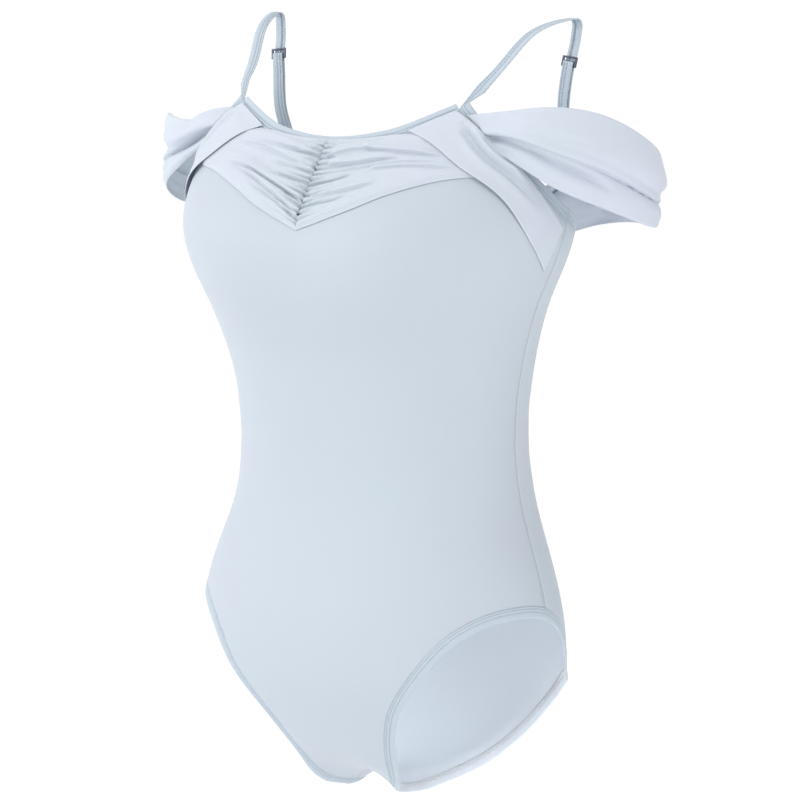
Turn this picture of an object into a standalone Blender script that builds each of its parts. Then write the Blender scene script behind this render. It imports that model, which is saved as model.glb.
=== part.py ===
"""Ballet leotard, filled out as if worn: a camisole body with bound edges, a ruched bust
drape, crossover drapes, dropped sleeves and adjustable shoulder straps.

Metres, +Z up. The front faces -Y and the wearer's left is +X. The origin is midway
between the tops of the two shoulder straps, where the wearer's shoulders hold it up.
"""

import math

import bmesh
import bpy
import mathutils
import numpy as np

# Cloth and seams
WALL = 0.0012  # stretch jersey
BINDING_WIDTH = 0.0095
BINDING_WALL = 0.0014
SEAM_GAP = 0.00035
SIDE_GAP = 0.00050  # at the side seams, where the rows of the two panels differ a little

# The torso is a stack of sections along a station. Above POLE a station is a height.
# Below it the section planes swing under the body about the hip line, and the station
# falls by FAN_LENGTH for each radian that they swing.
POLE = -0.530
PIVOT_Y = -0.030
FAN_LENGTH = 0.100
UNDER = POLE - FAN_LENGTH * math.pi / 2  # the crotch seam, straight below the hip line

# Sections: depths are measured from the side line, at side_y.
SECTIONS = [
    dict(station=-0.040, half_width=0.1520, front=0.0700, back=0.0500, side_y=-0.0300, front_power=2.7),
    dict(station=-0.080, half_width=0.1590, front=0.0860, back=0.0620, side_y=-0.0320, front_power=2.7),
    dict(station=-0.125, half_width=0.1663, front=0.1065, back=0.0752, side_y=-0.0355, front_power=2.8),
    dict(station=-0.176, half_width=0.1681, front=0.1260, back=0.0847, side_y=-0.0432, front_power=2.7),
    dict(station=-0.226, half_width=0.1494, front=0.1206, back=0.0833, side_y=-0.0454, front_power=2.5),
    dict(station=-0.275, half_width=0.1336, front=0.0993, back=0.0833, side_y=-0.0412, front_power=2.4),
    dict(station=-0.315, half_width=0.1277, front=0.0881, back=0.0842, side_y=-0.0394, front_power=2.3),
    dict(station=-0.357, half_width=0.1274, front=0.0830, back=0.0870, side_y=-0.0360, front_power=2.3),
    dict(station=-0.398, half_width=0.1340, front=0.0843, back=0.0934, side_y=-0.0326, front_power=2.3),
    dict(station=-0.435, half_width=0.1472, front=0.0895, back=0.0990, side_y=-0.0326, front_power=2.3),
    dict(station=-0.485, half_width=0.1605, front=0.1015, back=0.1060, side_y=-0.0315, front_power=2.25),
    dict(station=POLE, half_width=0.1632, front=0.1012, back=0.1090, side_y=PIVOT_Y, front_power=2.2),
    dict(station=-0.585, half_width=0.1590, front=0.0895, back=0.1060, side_y=PIVOT_Y, front_power=2.1),
    dict(station=-0.635, half_width=0.1440, front=0.0930, back=0.1020, side_y=PIVOT_Y, front_power=2.0),
    dict(station=UNDER, half_width=0.1260, front=0.0970, back=0.0970, side_y=PIVOT_Y, front_power=2.1),
]
BACK_POWER = 2.1


def natural_spline(knots, values):
    """The natural cubic spline through values at increasing knots, as a function."""
    x = np.asarray(knots, float)
    y = np.asarray(values, float)
    count = len(x)
    step = np.diff(x)
    matrix = np.eye(count)
    right = np.zeros((count,) + y.shape[1:])
    for i in range(1, count - 1):
        matrix[i, i - 1 : i + 2] = step[i - 1], 2 * (step[i - 1] + step[i]), step[i]
        right[i] = 6 * ((y[i + 1] - y[i]) / step[i] - (y[i] - y[i - 1]) / step[i - 1])
    bend = np.linalg.solve(matrix, right)

    def at(t):
        t = np.asarray(t, float)
        i = np.clip(np.searchsorted(x, t) - 1, 0, count - 2)
        width = step[i]
        a = (x[i + 1] - t) / width
        b = 1 - a
        if y.ndim > 1:
            a, b, width = a[..., None], b[..., None], width[..., None]
        curve = ((a**3 - a) * bend[i] + (b**3 - b) * bend[i + 1]) * width**2 / 6
        return a * y[i] + b * y[i + 1] + curve

    return at


SECTION_KEYS = ("half_width", "front", "back", "side_y", "front_power")
section_at = natural_spline(
    [-row["station"] for row in SECTIONS],
    [[row[key] for key in SECTION_KEYS] for row in SECTIONS],
)

# Bust: a soft rise either side of the middle, bridged by the stretched cloth between.
BUST = dict(x=0.078, height=-0.188, rise=0.009, spread_x=0.040, spread_z=0.042)
# Under the body the cloth is drawn up along the middle.
GROOVE = dict(depth=0.008, half_width=0.022)
# Towards the leg edges it falls again. Rows give a station and the angle of the lip there,
# from the middle of the back, and the share of its full depth at the back and in front.
LIP = [
    dict(station=-0.530, angle=66.0, back=0.00, front=0.0),
    dict(station=-0.560, angle=60.0, back=0.65, front=0.0),
    dict(station=-0.585, angle=54.0, back=1.00, front=0.0),
    dict(station=-0.610, angle=46.0, back=1.00, front=0.0),
    dict(station=-0.640, angle=29.0, back=1.00, front=0.3),
    dict(station=-0.665, angle=20.0, back=1.00, front=0.8),
    dict(station=UNDER, angle=18.0, back=1.00, front=1.0),
]
LIP_SIZE = dict(depth=0.0135, reach=17.0)  # metres and degrees


def lip(angle, station, ahead):
    """How far the cloth falls towards the leg edges, out from the hip line."""
    rows = {key: [row[key] for row in reversed(LIP)] for key in LIP[0]}
    edge = np.interp(station, rows["station"], rows["angle"])
    share = np.where(
        ahead,
        np.interp(station, rows["station"], rows["front"]),
        np.interp(station, rows["station"], rows["back"]),
    )
    off_middle = np.degrees(np.arctan2(np.abs(np.sin(angle)), np.abs(np.cos(angle))))
    near = np.clip(1 - (edge - off_middle) / LIP_SIZE["reach"], 0, 1.25)
    return LIP_SIZE["depth"] * share * near**2


def body(angle, station):
    """Points of the outer face of the torso. angle is in radians from the middle of the front,
    0 there and pi at the middle of the back, positive towards the wearer's left."""
    angle, station = np.broadcast_arrays(np.asarray(angle, float), np.asarray(station, float))
    width, front, back, side_y, front_power = np.moveaxis(section_at(-station), -1, 0)
    ahead = np.cos(angle) >= 0
    depth = np.where(ahead, front, back)
    power = np.where(ahead, front_power, BACK_POWER)
    reach = (np.abs(np.sin(angle)) / width) ** power + (np.abs(np.cos(angle)) / depth) ** power
    radius = reach ** (-1 / power)
    x = radius * np.sin(angle)
    out = radius * np.abs(np.cos(angle))
    facing = np.where(ahead, -1.0, 1.0)

    swing = np.clip((POLE - station) / FAN_LENGTH, 0, math.pi / 2)
    groove = GROOVE["depth"] * np.sin(swing) ** 6 * np.exp(-((x / GROOVE["half_width"]) ** 2))
    level = np.exp(-(((station - BUST["height"]) / BUST["spread_z"]) ** 2) / 2)
    across = sum(np.exp(-(((x - s * BUST["x"]) / BUST["spread_x"]) ** 2) / 2) for s in (-1, 1))
    rise = np.where(ahead, BUST["rise"] * level * across * np.cos(angle) ** 2, 0)
    out = out - groove + rise + lip(angle, station, ahead)

    y = side_y + facing * out * np.cos(swing)
    z = np.where(station >= POLE, station, POLE - out * np.sin(swing))
    return np.stack([x, y, z], -1)


def unit(vectors):
    return vectors / np.linalg.norm(vectors, axis=-1, keepdims=True)


def body_normal(angle, station):
    """Outward normals of the torso."""
    nudge = 1e-4
    along_angle = body(angle + nudge, station) - body(angle - nudge, station)
    along_station = body(angle, station + nudge) - body(angle, station - nudge)
    return unit(np.cross(along_angle, along_station))


# Edges of the cut, as (degrees round from the middle of the front, station). They run
# anticlockwise round the front panel seen from outside, so the cloth is on their left.
LEG_EDGE = [
    (17.0, UNDER), (19.6, -0.6700), (24.6, -0.6560), (29.5, -0.6330), (35.0, -0.6010),
    (40.0, -0.5680), (45.5, -0.5400), (51.5, -0.5170), (57.5, -0.5000), (64.0, -0.4885),
    (71.5, -0.4805), (79.5, -0.4775), (88.0, -0.4790), (96.0, -0.4900), (102.0, -0.5080),
    (107.5, -0.5300), (115.0, -0.5460), (120.5, -0.5580), (125.9, -0.5726), (131.0, -0.5890),
    (136.9, -0.6106), (142.7, -0.6207), (148.5, -0.6317), (155.4, -0.6462), (160.7, -0.6640),
    (163.0, UNDER),
]
ARM_EDGE = [
    (101.0, -0.1680), (94.9, -0.1587), (90.0, -0.1510), (85.5, -0.1440), (78.7, -0.1325),
    (70.2, -0.1135), (65.0, -0.0985), (61.5, -0.0835), (58.4, -0.0690), (56.0, -0.0560),
]
NECK_EDGE = [
    (62.0, -0.0600), (56.5, -0.0690), (49.0, -0.0775), (41.0, -0.0853), (32.0, -0.0922),
    (22.0, -0.0967), (12.0, -0.0995), (0.0, -0.1008),
]
BACK_EDGE = [
    (180.0, -0.1980), (158.0, -0.1920), (138.0, -0.1790), (118.0, -0.1700), (104.0, -0.1640),
    (94.9, -0.1565), (86.0, -0.1440),
]
SIDE = 90.0

FINE = 240  # steps when a curve is measured
SETTLE_STEPS = 6


def slopes_at(line):
    """How the body's points move with the angle and with the station, along a line."""
    nudge = 1e-5
    angle, station = line[:, 0], line[:, 1]
    under = np.maximum(station - nudge, UNDER)
    by_angle = (body(angle + nudge, station) - body(angle - nudge, station)) / (2 * nudge)
    by_station = body(angle, station + nudge) - body(angle, under)
    by_station = by_station / (station + nudge - under)[:, None]
    return np.stack([by_angle, by_station], -1)


def settle(line, wanted):
    """A line of (angle, station) near line, whose points on the body lie nearest to wanted."""
    line = line.copy()
    for _ in range(SETTLE_STEPS):
        away = wanted - body(line[:, 0], line[:, 1])
        line += np.einsum("nij,nj->ni", np.linalg.pinv(slopes_at(line)), away)
        line[:, 1] = np.maximum(line[:, 1], UNDER)
    return line


def trace(table):
    """A smooth line of (angle in radians, station) over the body, through edge points."""
    points = np.array([(math.radians(angle), station) for angle, station in table])
    spots = body(points[:, 0], points[:, 1])
    line, wanted = smooth(points, spots), smooth(spots, spots)
    return settle(line, wanted)


def smooth(points, spots, count=FINE):
    """A spline through points, spaced by the distances between spots."""
    along = np.concatenate([[0], np.cumsum(np.linalg.norm(np.diff(spots, axis=0), axis=1))])
    return natural_spline(along, points)(np.linspace(0, along[-1], count))


def even(line, count, power=1.0):
    """The same line of (angle, station) at count points spread evenly over the cloth.
    A power above 1 crowds them towards the start."""
    spots = body(line[:, 0], line[:, 1])
    along = np.concatenate([[0], np.cumsum(np.linalg.norm(np.diff(spots, axis=0), axis=1))])
    wanted = along[-1] * np.linspace(0, 1, count) ** power
    return np.stack([np.interp(wanted, along, line[:, k]) for k in (0, 1)], -1)


def shift(line, distance, loop=False):
    """The line moved over the cloth to its left, seen from outside, by distance."""
    spots = body(line[:, 0], line[:, 1])
    ahead = unit(np.gradient(spots, axis=0))
    if loop:
        ahead[0] = ahead[-1] = unit(ahead[0] + ahead[-1])
    left = unit(np.cross(body_normal(line[:, 0], line[:, 1]), ahead))
    return settle(line, spots + left * distance)


def crossing(a, b):
    """Where line a first crosses line b, as a place along each counted in points."""
    for i in range(len(a) - 1):
        step = a[i + 1] - a[i]
        for j in range(len(b) - 1):
            other = b[j + 1] - b[j]
            turn = step[0] * other[1] - step[1] * other[0]
            if abs(turn) < 1e-15:
                continue
            away = b[j] - a[i]
            s = (away[0] * other[1] - away[1] * other[0]) / turn
            t = (away[0] * step[1] - away[1] * step[0]) / turn
            if 0 <= s <= 1 and 0 <= t <= 1:
                return i + s, j + t
    raise ValueError("the two edges don't meet")


def places(line, start, stop, count):
    """Places along a line, counted in points, that spread evenly over the cloth."""
    spots = body(line[:, 0], line[:, 1])
    along = np.concatenate([[0], np.cumsum(np.linalg.norm(np.diff(spots, axis=0), axis=1))])
    ends = np.interp([start, stop], np.arange(len(line)), along)
    return np.interp(np.linspace(*ends, count), along, np.arange(len(line)))


def pick(line, spots):
    """The points of a line at places counted in points."""
    return np.stack([np.interp(spots, np.arange(len(line)), line[:, k]) for k in (0, 1)], -1)


def upright(degrees):
    """A straight line up the body at one angle."""
    return np.array([(math.radians(degrees), UNDER), (math.radians(degrees), 0.0)])


def skirt(degrees, gap):
    """The angle in degrees, moved by gap metres over the side of the body."""
    reach = np.linalg.norm(body(math.radians(degrees + 1), -0.35) - body(math.radians(degrees), -0.35))
    return degrees + gap / reach


HALF_GAP = SEAM_GAP / 2
FRONT_SIDE = upright(skirt(SIDE, -SIDE_GAP / 2))
BACK_SIDE = upright(skirt(SIDE, SIDE_GAP / 2))
INSET = BINDING_WIDTH + SEAM_GAP

leg_edge = trace(LEG_EDGE)
arm_edge = trace(ARM_EDGE)
neck_edge = trace(NECK_EDGE)
back_edge = trace(BACK_EDGE)
leg_inset = shift(leg_edge, INSET, True)
arm_inset = shift(arm_edge, INSET)
neck_inset = shift(neck_edge, INSET)
back_inset = shift(back_edge, INSET)


def joined(*lines):
    return np.concatenate([lines[0]] + [line[1:] for line in lines[1:]])


MIDDLE_RISE = 0.12  # how far a panel's rows bow up in the middle, as a share of its height


def panel_net(bottom, side, top):
    """A net of (angle, station) over half a panel, row by row from the bottom edge up and
    from the middle to the side. bottom and top start at the middle."""
    t = np.linspace(0, 1, len(side))[:, None, None]
    s = np.linspace(0, 1, len(top))[None, :, None]
    climb = (side[:, 1] - side[0, 1]) / (side[-1, 1] - side[0, 1])
    share = np.linspace(0, 1, len(side))
    climb = (climb + share) / 2 + MIDDLE_RISE * np.sin(math.pi * share**0.75)
    middle = bottom[0] + (top[0] - bottom[0]) * climb[:, None]
    corners = (1 - t) * ((1 - s) * bottom[0] + s * bottom[-1]) + t * ((1 - s) * top[0] + s * top[-1])
    return (
        (1 - t) * bottom[None]
        + t * top[None]
        + (1 - s) * middle[:, None]
        + s * side[:, None]
        - corners
    )


def both_sides(net, middle):
    """The half net and its mirror image about the angle of the middle, as one net."""
    far = net[:, :0:-1].copy()
    far[..., 0] = 2 * middle - far[..., 0]
    return np.concatenate([far, net], axis=1)


def wear(net, lift=0.0):
    """Points of a net of (angle, station), lift metres off the wearer's side of the body."""
    angle, station = net[..., 0], net[..., 1]
    lift = np.broadcast_to(lift - WALL, angle.shape)[..., None]
    return body(angle, station) + lift * body_normal(angle, station)


for old in list(bpy.data.objects):
    bpy.data.objects.remove(old, do_unlink=True)

parts = bpy.data.collections.new("ballet_leotard")
cutters = bpy.data.collections.new("cutters")
bpy.context.scene.collection.children.link(parts)
bpy.context.scene.collection.children.link(cutters)


def material(name, colour, roughness, metallic=0.0):
    made = bpy.data.materials.new(name)
    made.use_nodes = True
    shader = made.node_tree.nodes["Principled BSDF"]
    shader.inputs["Base Color"].default_value = (*colour, 1.0)
    shader.inputs["Roughness"].default_value = roughness
    shader.inputs["Metallic"].default_value = metallic
    return made


JERSEY = material("pale_blue_jersey", (0.63, 0.70, 0.78), 0.55)
BINDING = material("pale_blue_binding", (0.60, 0.68, 0.76), 0.60)
MESH = material("pale_blue_mesh", (0.66, 0.71, 0.82), 0.70)
METAL = material("grey_metal", (0.30, 0.32, 0.36), 0.35, 0.9)


def add(name, points, faces, look, group=None):
    mesh = bpy.data.meshes.new(name)
    mesh.from_pydata([tuple(map(float, p)) for p in points], [], faces)
    mesh.materials.append(look)
    mesh.update()
    made = bpy.data.objects.new(name, mesh)
    (group or parts).objects.link(made)
    return made


def shade_smooth(made):
    made.data.polygons.foreach_set("use_smooth", [True] * len(made.data.polygons))
    made.data.update()


def net_faces(rows, columns, closed, flip):
    """Quads of a net that is stored row by row. closed joins the last row to the first."""
    faces = []
    for i in range(rows if closed else rows - 1):
        j = (i + 1) % rows
        for k in range(columns - 1):
            face = (i * columns + k, i * columns + k + 1, j * columns + k + 1, j * columns + k)
            faces.append(face[::-1] if flip else face)
    return faces


def cloth(name, net, wall, look, mirrored=False, closed=False):
    """A cloth of one thickness on the outer side of a net of points. Its columns run to
    the right and its rows up, seen from outside."""
    net = np.array(net)
    if mirrored:
        net[..., 0] *= -1
    rows, columns = net.shape[:2]
    made = add(name, net.reshape(-1, 3), net_faces(rows, columns, closed, mirrored), look)
    thick = made.modifiers.new("wall", "SOLIDIFY")
    thick.thickness = wall
    thick.offset = 1.0
    thick.use_even_offset = True
    shade_smooth(made)
    return made


def layered(name, inner, outer, look, mirrored=False, closed=False):
    """A cloth between two nets of points. closed joins its last row to its first."""
    inner = np.array(inner)
    outer = np.array(outer)
    if mirrored:
        inner[..., 0] *= -1
        outer[..., 0] *= -1
    rows, columns = inner.shape[:2]
    half = rows * columns
    faces = [tuple(k + half for k in face) for face in net_faces(rows, columns, closed, mirrored)]
    faces += net_faces(rows, columns, closed, not mirrored)
    right = [i * columns + columns - 1 for i in range(rows)]
    left = [i * columns for i in range(rows - 1, -1, -1)]
    if closed:
        borders = [right, left]
    else:
        last = (rows - 1) * columns
        top = [last + k for k in range(columns - 2, 0, -1)]
        borders = [list(range(columns - 1)) + right + top + left[:-1]]
    for border in borders:
        for a, b in zip(border, border[1:] + border[:1]):
            face = (a, b, b + half, a + half)
            faces.append(face[::-1] if mirrored else face)
    points = np.concatenate([inner.reshape(-1, 3), outer.reshape(-1, 3)])
    made = add(name, points, faces, look)
    shade_smooth(made)
    return made


def fitted(name, net, wall, look):
    """A cloth that lies on the body, from its net of (angle, station)."""
    return layered(name, wear(net), wear(net, wall), look)


# Body panels. Rows follow the leg edge, the side seam and the armhole in turn, and the
# bindings take the same rows and columns, so the two sides of a seam stay parallel.
LEG_ROWS = 14
SEAM_ROWS = 10
ARM_ROWS = 9
HALF_COLUMNS = 12
CROTCH = UNDER + HALF_GAP


def front_places():
    leg_stop, seam_start = crossing(leg_inset, FRONT_SIDE)
    arm_start, seam_stop = crossing(arm_inset, FRONT_SIDE)
    arm_stop, neck_start = crossing(arm_inset, neck_inset)
    return dict(
        leg=places(leg_inset, 0, leg_stop, LEG_ROWS),
        seam=places(FRONT_SIDE, seam_start, seam_stop, SEAM_ROWS),
        arm=places(arm_inset, arm_start, arm_stop, ARM_ROWS),
        neck=places(neck_inset, len(neck_inset) - 1, neck_start, HALF_COLUMNS),
    )


def back_places():
    leg_start, seam_start = crossing(leg_inset, BACK_SIDE)
    back_stop, seam_stop = crossing(back_inset, BACK_SIDE)
    return dict(
        leg=places(leg_inset, len(leg_inset) - 1, leg_start, LEG_ROWS),
        seam=np.concatenate([[seam_start], FRONT["seam"][1:-1], [seam_stop]]),
        neck=places(back_inset, 0, back_stop, HALF_COLUMNS),
    )


FRONT = front_places()
BACK = back_places()


def half_panel(side, top, middle):
    side[0, 1] = CROTCH
    top[0, 0] = middle
    share = np.linspace(0, 1, len(top))[:, None]
    bottom = np.array([(middle, CROTCH)]) * (1 - share) + side[0] * share
    return both_sides(panel_net(bottom, side, top), middle)


front_net = half_panel(
    joined(
        pick(leg_inset, FRONT["leg"]),
        pick(FRONT_SIDE, FRONT["seam"]),
        pick(arm_inset, FRONT["arm"]),
    ),
    pick(neck_inset, FRONT["neck"]),
    0.0,
)
fitted("front_panel", front_net, WALL, JERSEY)

back_net = half_panel(
    joined(pick(leg_inset, BACK["leg"]), pick(BACK_SIDE, BACK["seam"])),
    pick(back_inset, BACK["neck"]),
    math.pi,
)
fitted("back_panel", back_net[:, ::-1], WALL, JERSEY)


def strip_net(a, b, columns=3):
    """A net between two rows of (angle, station) points."""
    blend = np.linspace(0, 1, columns)[None, :, None]
    return a[:, None] * (1 - blend) + b[:, None] * blend


# Neckline bindings
arm_inner = shift(arm_edge, BINDING_WIDTH)
neck_inner = shift(neck_edge, BINDING_WIDTH)
back_inner = shift(back_edge, BINDING_WIDTH)


def neckline_half(lines, wall, spots, middle):
    """Half a binding between two lines, cut off where they meet the wall line."""
    rows = []
    for line in lines:
        ends = np.array(spots)
        ends[-1] = crossing(line, wall)[0]
        rows.append(pick(line, ends))
        rows[-1][0, 0] = middle
    return both_sides(strip_net(*rows).transpose(1, 0, 2), middle)


front_binding = neckline_half((neck_inner, neck_edge), arm_inset, FRONT["neck"], 0.0)
fitted("front_neckline_binding", front_binding, BINDING_WALL, BINDING)
back_binding = neckline_half((back_inner, back_edge), BACK_SIDE, BACK["neck"], math.pi)
fitted("back_neckline_binding", back_binding[:, ::-1], BINDING_WALL, BINDING)

# Leg hems, each a closed band round its leg
leg_inner = shift(leg_edge, BINDING_WIDTH, True)


def hem_nets():
    spots = np.concatenate([FRONT["leg"], BACK["leg"][::-1]])
    net = strip_net(pick(leg_edge, spots), pick(leg_inner, spots))
    faces = []
    for lift in (0.0, BINDING_WALL):
        points = wear(net, lift)
        points[0] = (points[0] + points[-1]) / 2
        faces.append(points[:-1, ::-1])
    return faces


for side in ("left", "right"):
    layered("leg_hem_" + side, *hem_nets(), BINDING, side == "right", closed=True)

# Ruched bust drapes. Each is gathered into the middle seam and its gathers fan out and
# merge into a few soft folds towards the crossover drape.
DRAPE_TOP = [(0.0, -0.1035), (17.0, -0.1025), (34.0, -0.0980), (45.5, -0.0975)]
DRAPE_BOTTOM = [
    (0.0, -0.1755), (12.0, -0.1655), (23.5, -0.1550), (31.0, -0.1470), (38.7, -0.1400),
    (46.0, -0.1340), (58.0, -0.1285),
]
DRAPE_ROWS = 57
DRAPE_COLUMNS = 9
DRAPE_LIFT = 0.0027  # over the neckline binding
DRAPE_WALL = 0.0015
DRAPE_SHIFT = math.radians(0.085)  # of its first column, off the middle seam
DRAPE_EDGE = 0.04  # share of its depth over which the gathers start at each edge
DRAPE_END = 0.15  # share of its length over which the folds end
GATHERS = dict(count=14, height=0.0019, fade=0.30)
# Wide folds further out: place across the drape at its inner and outer end, how high they
# stand, how wide they are, and where along the drape they are fullest.
DRAPE_FOLDS = [
    dict(inner=0.10, outer=0.16, height=0.0026, width=0.055, middle=0.45, spread=0.30),
    dict(inner=0.28, outer=0.33, height=0.0024, width=0.050, middle=0.55, spread=0.32),
    dict(inner=0.44, outer=0.50, height=0.0030, width=0.060, middle=0.50, spread=0.30),
    dict(inner=0.62, outer=0.66, height=0.0026, width=0.050, middle=0.60, spread=0.34),
    dict(inner=0.80, outer=0.82, height=0.0028, width=0.055, middle=0.55, spread=0.36),
]


def drape_height(along, across):
    """How far the ruched cloth stands off, along from the middle seam outwards and across
    from the top edge down."""
    tooth = np.sin(2 * math.pi * GATHERS["count"] * across - math.pi / 2) / 2 + 0.5
    edge = np.clip(np.minimum(across, 1 - across) / DRAPE_EDGE, 0, 1)
    height = GATHERS["height"] * tooth * np.exp(-((along / GATHERS["fade"]) ** 2)) * edge
    for fold in DRAPE_FOLDS:
        place = fold["inner"] + (fold["outer"] - fold["inner"]) * along
        ridge = np.exp(-(((across - place) / fold["width"]) ** 2) / 2)
        full = np.exp(-(((along - fold["middle"]) / fold["spread"]) ** 2))
        height = height + fold["height"] * ridge * full * np.clip((1 - along) / DRAPE_END, 0, 1)
    return height


def drape_nets():
    top = even(trace(DRAPE_TOP), DRAPE_COLUMNS, 1.5)
    bottom = even(trace(DRAPE_BOTTOM), DRAPE_COLUMNS, 1.5)
    across = np.linspace(0, 1, DRAPE_ROWS)[:, None]
    net = top[None] + (bottom - top)[None] * across[..., None]
    along = np.linspace(0, 1, DRAPE_COLUMNS)[None, :] ** 1.5
    net[:, 0, 0] = DRAPE_SHIFT
    height = drape_height(along + 0 * across, across + 0 * along)
    inner = wear(net, DRAPE_LIFT + height)
    outer = wear(net, DRAPE_LIFT + DRAPE_WALL + height)
    for points in (inner, outer):
        points[:, 0, 0] = HALF_GAP
    return inner[::-1], outer[::-1]


for side in ("left", "right"):
    layered("bust_drape_" + side, *drape_nets(), MESH, side == "right")

# Crossover drapes: from the neckline corner down to the side seam, over the ruching
OVER_INNER = [
    (40.0, -0.0955), (48.5, -0.1090), (53.5, -0.1215), (59.0, -0.1325), (64.8, -0.1459),
    (69.2, -0.1596), (73.8, -0.1736), (79.1, -0.1870), (85.3, -0.2010),
]
OVER_OUTER = [
    (54.0, -0.0790), (58.6, -0.0890), (61.8, -0.1015), (64.0, -0.1115), (67.3, -0.1200),
    (72.2, -0.1320), (77.5, -0.1450), (83.0, -0.1575), (87.6, -0.1665),
]
OVER_ROWS = 22
OVER_COLUMNS = 8
OVER_WALL = 0.0013
# It lies over the end of the ruching, then over the root of the sleeve, and comes down on
# to the panel further along.
OVER_LIFT = dict(inner=0.0047, outer=0.0043, low=0.0016)
OVER_FALL = dict(start=0.45, stop=0.80)
OVER_FOLDS = [
    dict(top=0.86, bottom=0.60, depth=0.0022, width=0.075, middle=0.34, spread=0.17),
    dict(top=0.62, bottom=0.36, depth=0.0014, width=0.080, middle=0.42, spread=0.22),
]


def over_height(down, across):
    fall = np.clip((down - OVER_FALL["start"]) / (OVER_FALL["stop"] - OVER_FALL["start"]), 0, 1)
    fall = fall * fall * (3 - 2 * fall)
    height = OVER_LIFT["inner"] + (OVER_LIFT["outer"] - OVER_LIFT["inner"]) * across
    height = height + (OVER_LIFT["low"] - height) * fall
    for fold in OVER_FOLDS:
        place = fold["top"] + (fold["bottom"] - fold["top"]) * down
        ridge = np.exp(-(((across - place) / fold["width"]) ** 2) / 2)
        full = np.exp(-(((down - fold["middle"]) / fold["spread"]) ** 2))
        height = height + fold["depth"] * ridge * full
    return height


def over_net():
    inner = even(trace(OVER_INNER), OVER_ROWS)
    outer = even(trace(OVER_OUTER), OVER_ROWS)
    across = np.linspace(0, 1, OVER_COLUMNS)[None, :]
    down = np.linspace(0, 1, OVER_ROWS)[:, None]
    net = inner[:, None] + (outer - inner)[:, None] * across[..., None]
    return wear(net, over_height(down + 0 * across, across + 0 * down))[::-1]


for side in ("left", "right"):
    cloth("crossover_drape_" + side, over_net(), OVER_WALL, MESH, side == "right")

# Dropped sleeves: a wide band from the armhole, round the upper arm and back to the back
# edge. Rows go round the arm; top and bottom are the heights of the band's two edges.
SLEEVE_WALL = 0.0013
SLEEVE_LIFT = 0.0018
SLEEVE_FRONT = dict(top=(57.6, -0.0810), bottom=(64.0, -0.1100))
SLEEVE_BACK = dict(top=(121.0, -0.1540), bottom=(108.0, -0.1770))
SLEEVE = [
    dict(x=0.1540, y=-0.1005, top=-0.0755, bottom=-0.1150),
    dict(x=0.1850, y=-0.0905, top=-0.0720, bottom=-0.1330),
    dict(x=0.2110, y=-0.0700, top=-0.0755, bottom=-0.1460),
    dict(x=0.2255, y=-0.0420, top=-0.0865, bottom=-0.1560),
    dict(x=0.2285, y=-0.0130, top=-0.0985, bottom=-0.1625),
    dict(x=0.2190, y=0.0130, top=-0.1080, bottom=-0.1635),
    dict(x=0.1990, y=0.0340, top=-0.1160, bottom=-0.1625),
    dict(x=0.1750, y=0.0450, top=-0.1260, bottom=-0.1630),
    dict(x=0.1500, y=0.0480, top=-0.1380, bottom=-0.1680),
]
SLEEVE_ROWS = 11
SLEEVE_COLUMNS = 27
SLEEVE_BULGE = 0.0060
SLEEVE_CREASE = dict(
    left=dict(start=0.88, end=0.62, depth=0.0055, width=0.11),
    right=dict(start=0.75, end=0.44, depth=0.0085, width=0.10),
)
SLEEVE_DROP = dict(right=0.020, at=0.17, spread=0.20)
SLEEVE_DRAWN_IN = dict(right=0.004)
# Shares of the way round the arm: where the folds reach full depth, how far the crease
# runs and how soon the band leaves the curve of the body.
SLEEVE_OPENS = 0.12
SLEEVE_CREASE_RUN = 0.40
SLEEVE_LEAVES = 0.07


def root_on_body(points, across):
    """The band's points, its two ends laid on the curve of the body."""
    points = points.copy()
    reach = np.linspace(0, 1, len(points))
    for row, ends in ((0, SLEEVE_FRONT), (-1, SLEEVE_BACK)):
        top, bottom = [np.array([math.radians(a), b]) for a, b in ends.values()]
        line = top + (bottom - top) * across[:, None]
        bow = wear(line, SLEEVE_LIFT) - points[row]
        away = reach if row == 0 else 1 - reach
        points = points + bow[None] * np.exp(-((away / SLEEVE_LEAVES) ** 2))[:, None, None]
    return points


def sleeve_root(ends):
    """The top and bottom points of one end of the band, on the body."""
    line = np.array([(math.radians(angle), station) for angle, station in ends.values()])
    return wear(line, SLEEVE_LIFT).reshape(-1)


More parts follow.
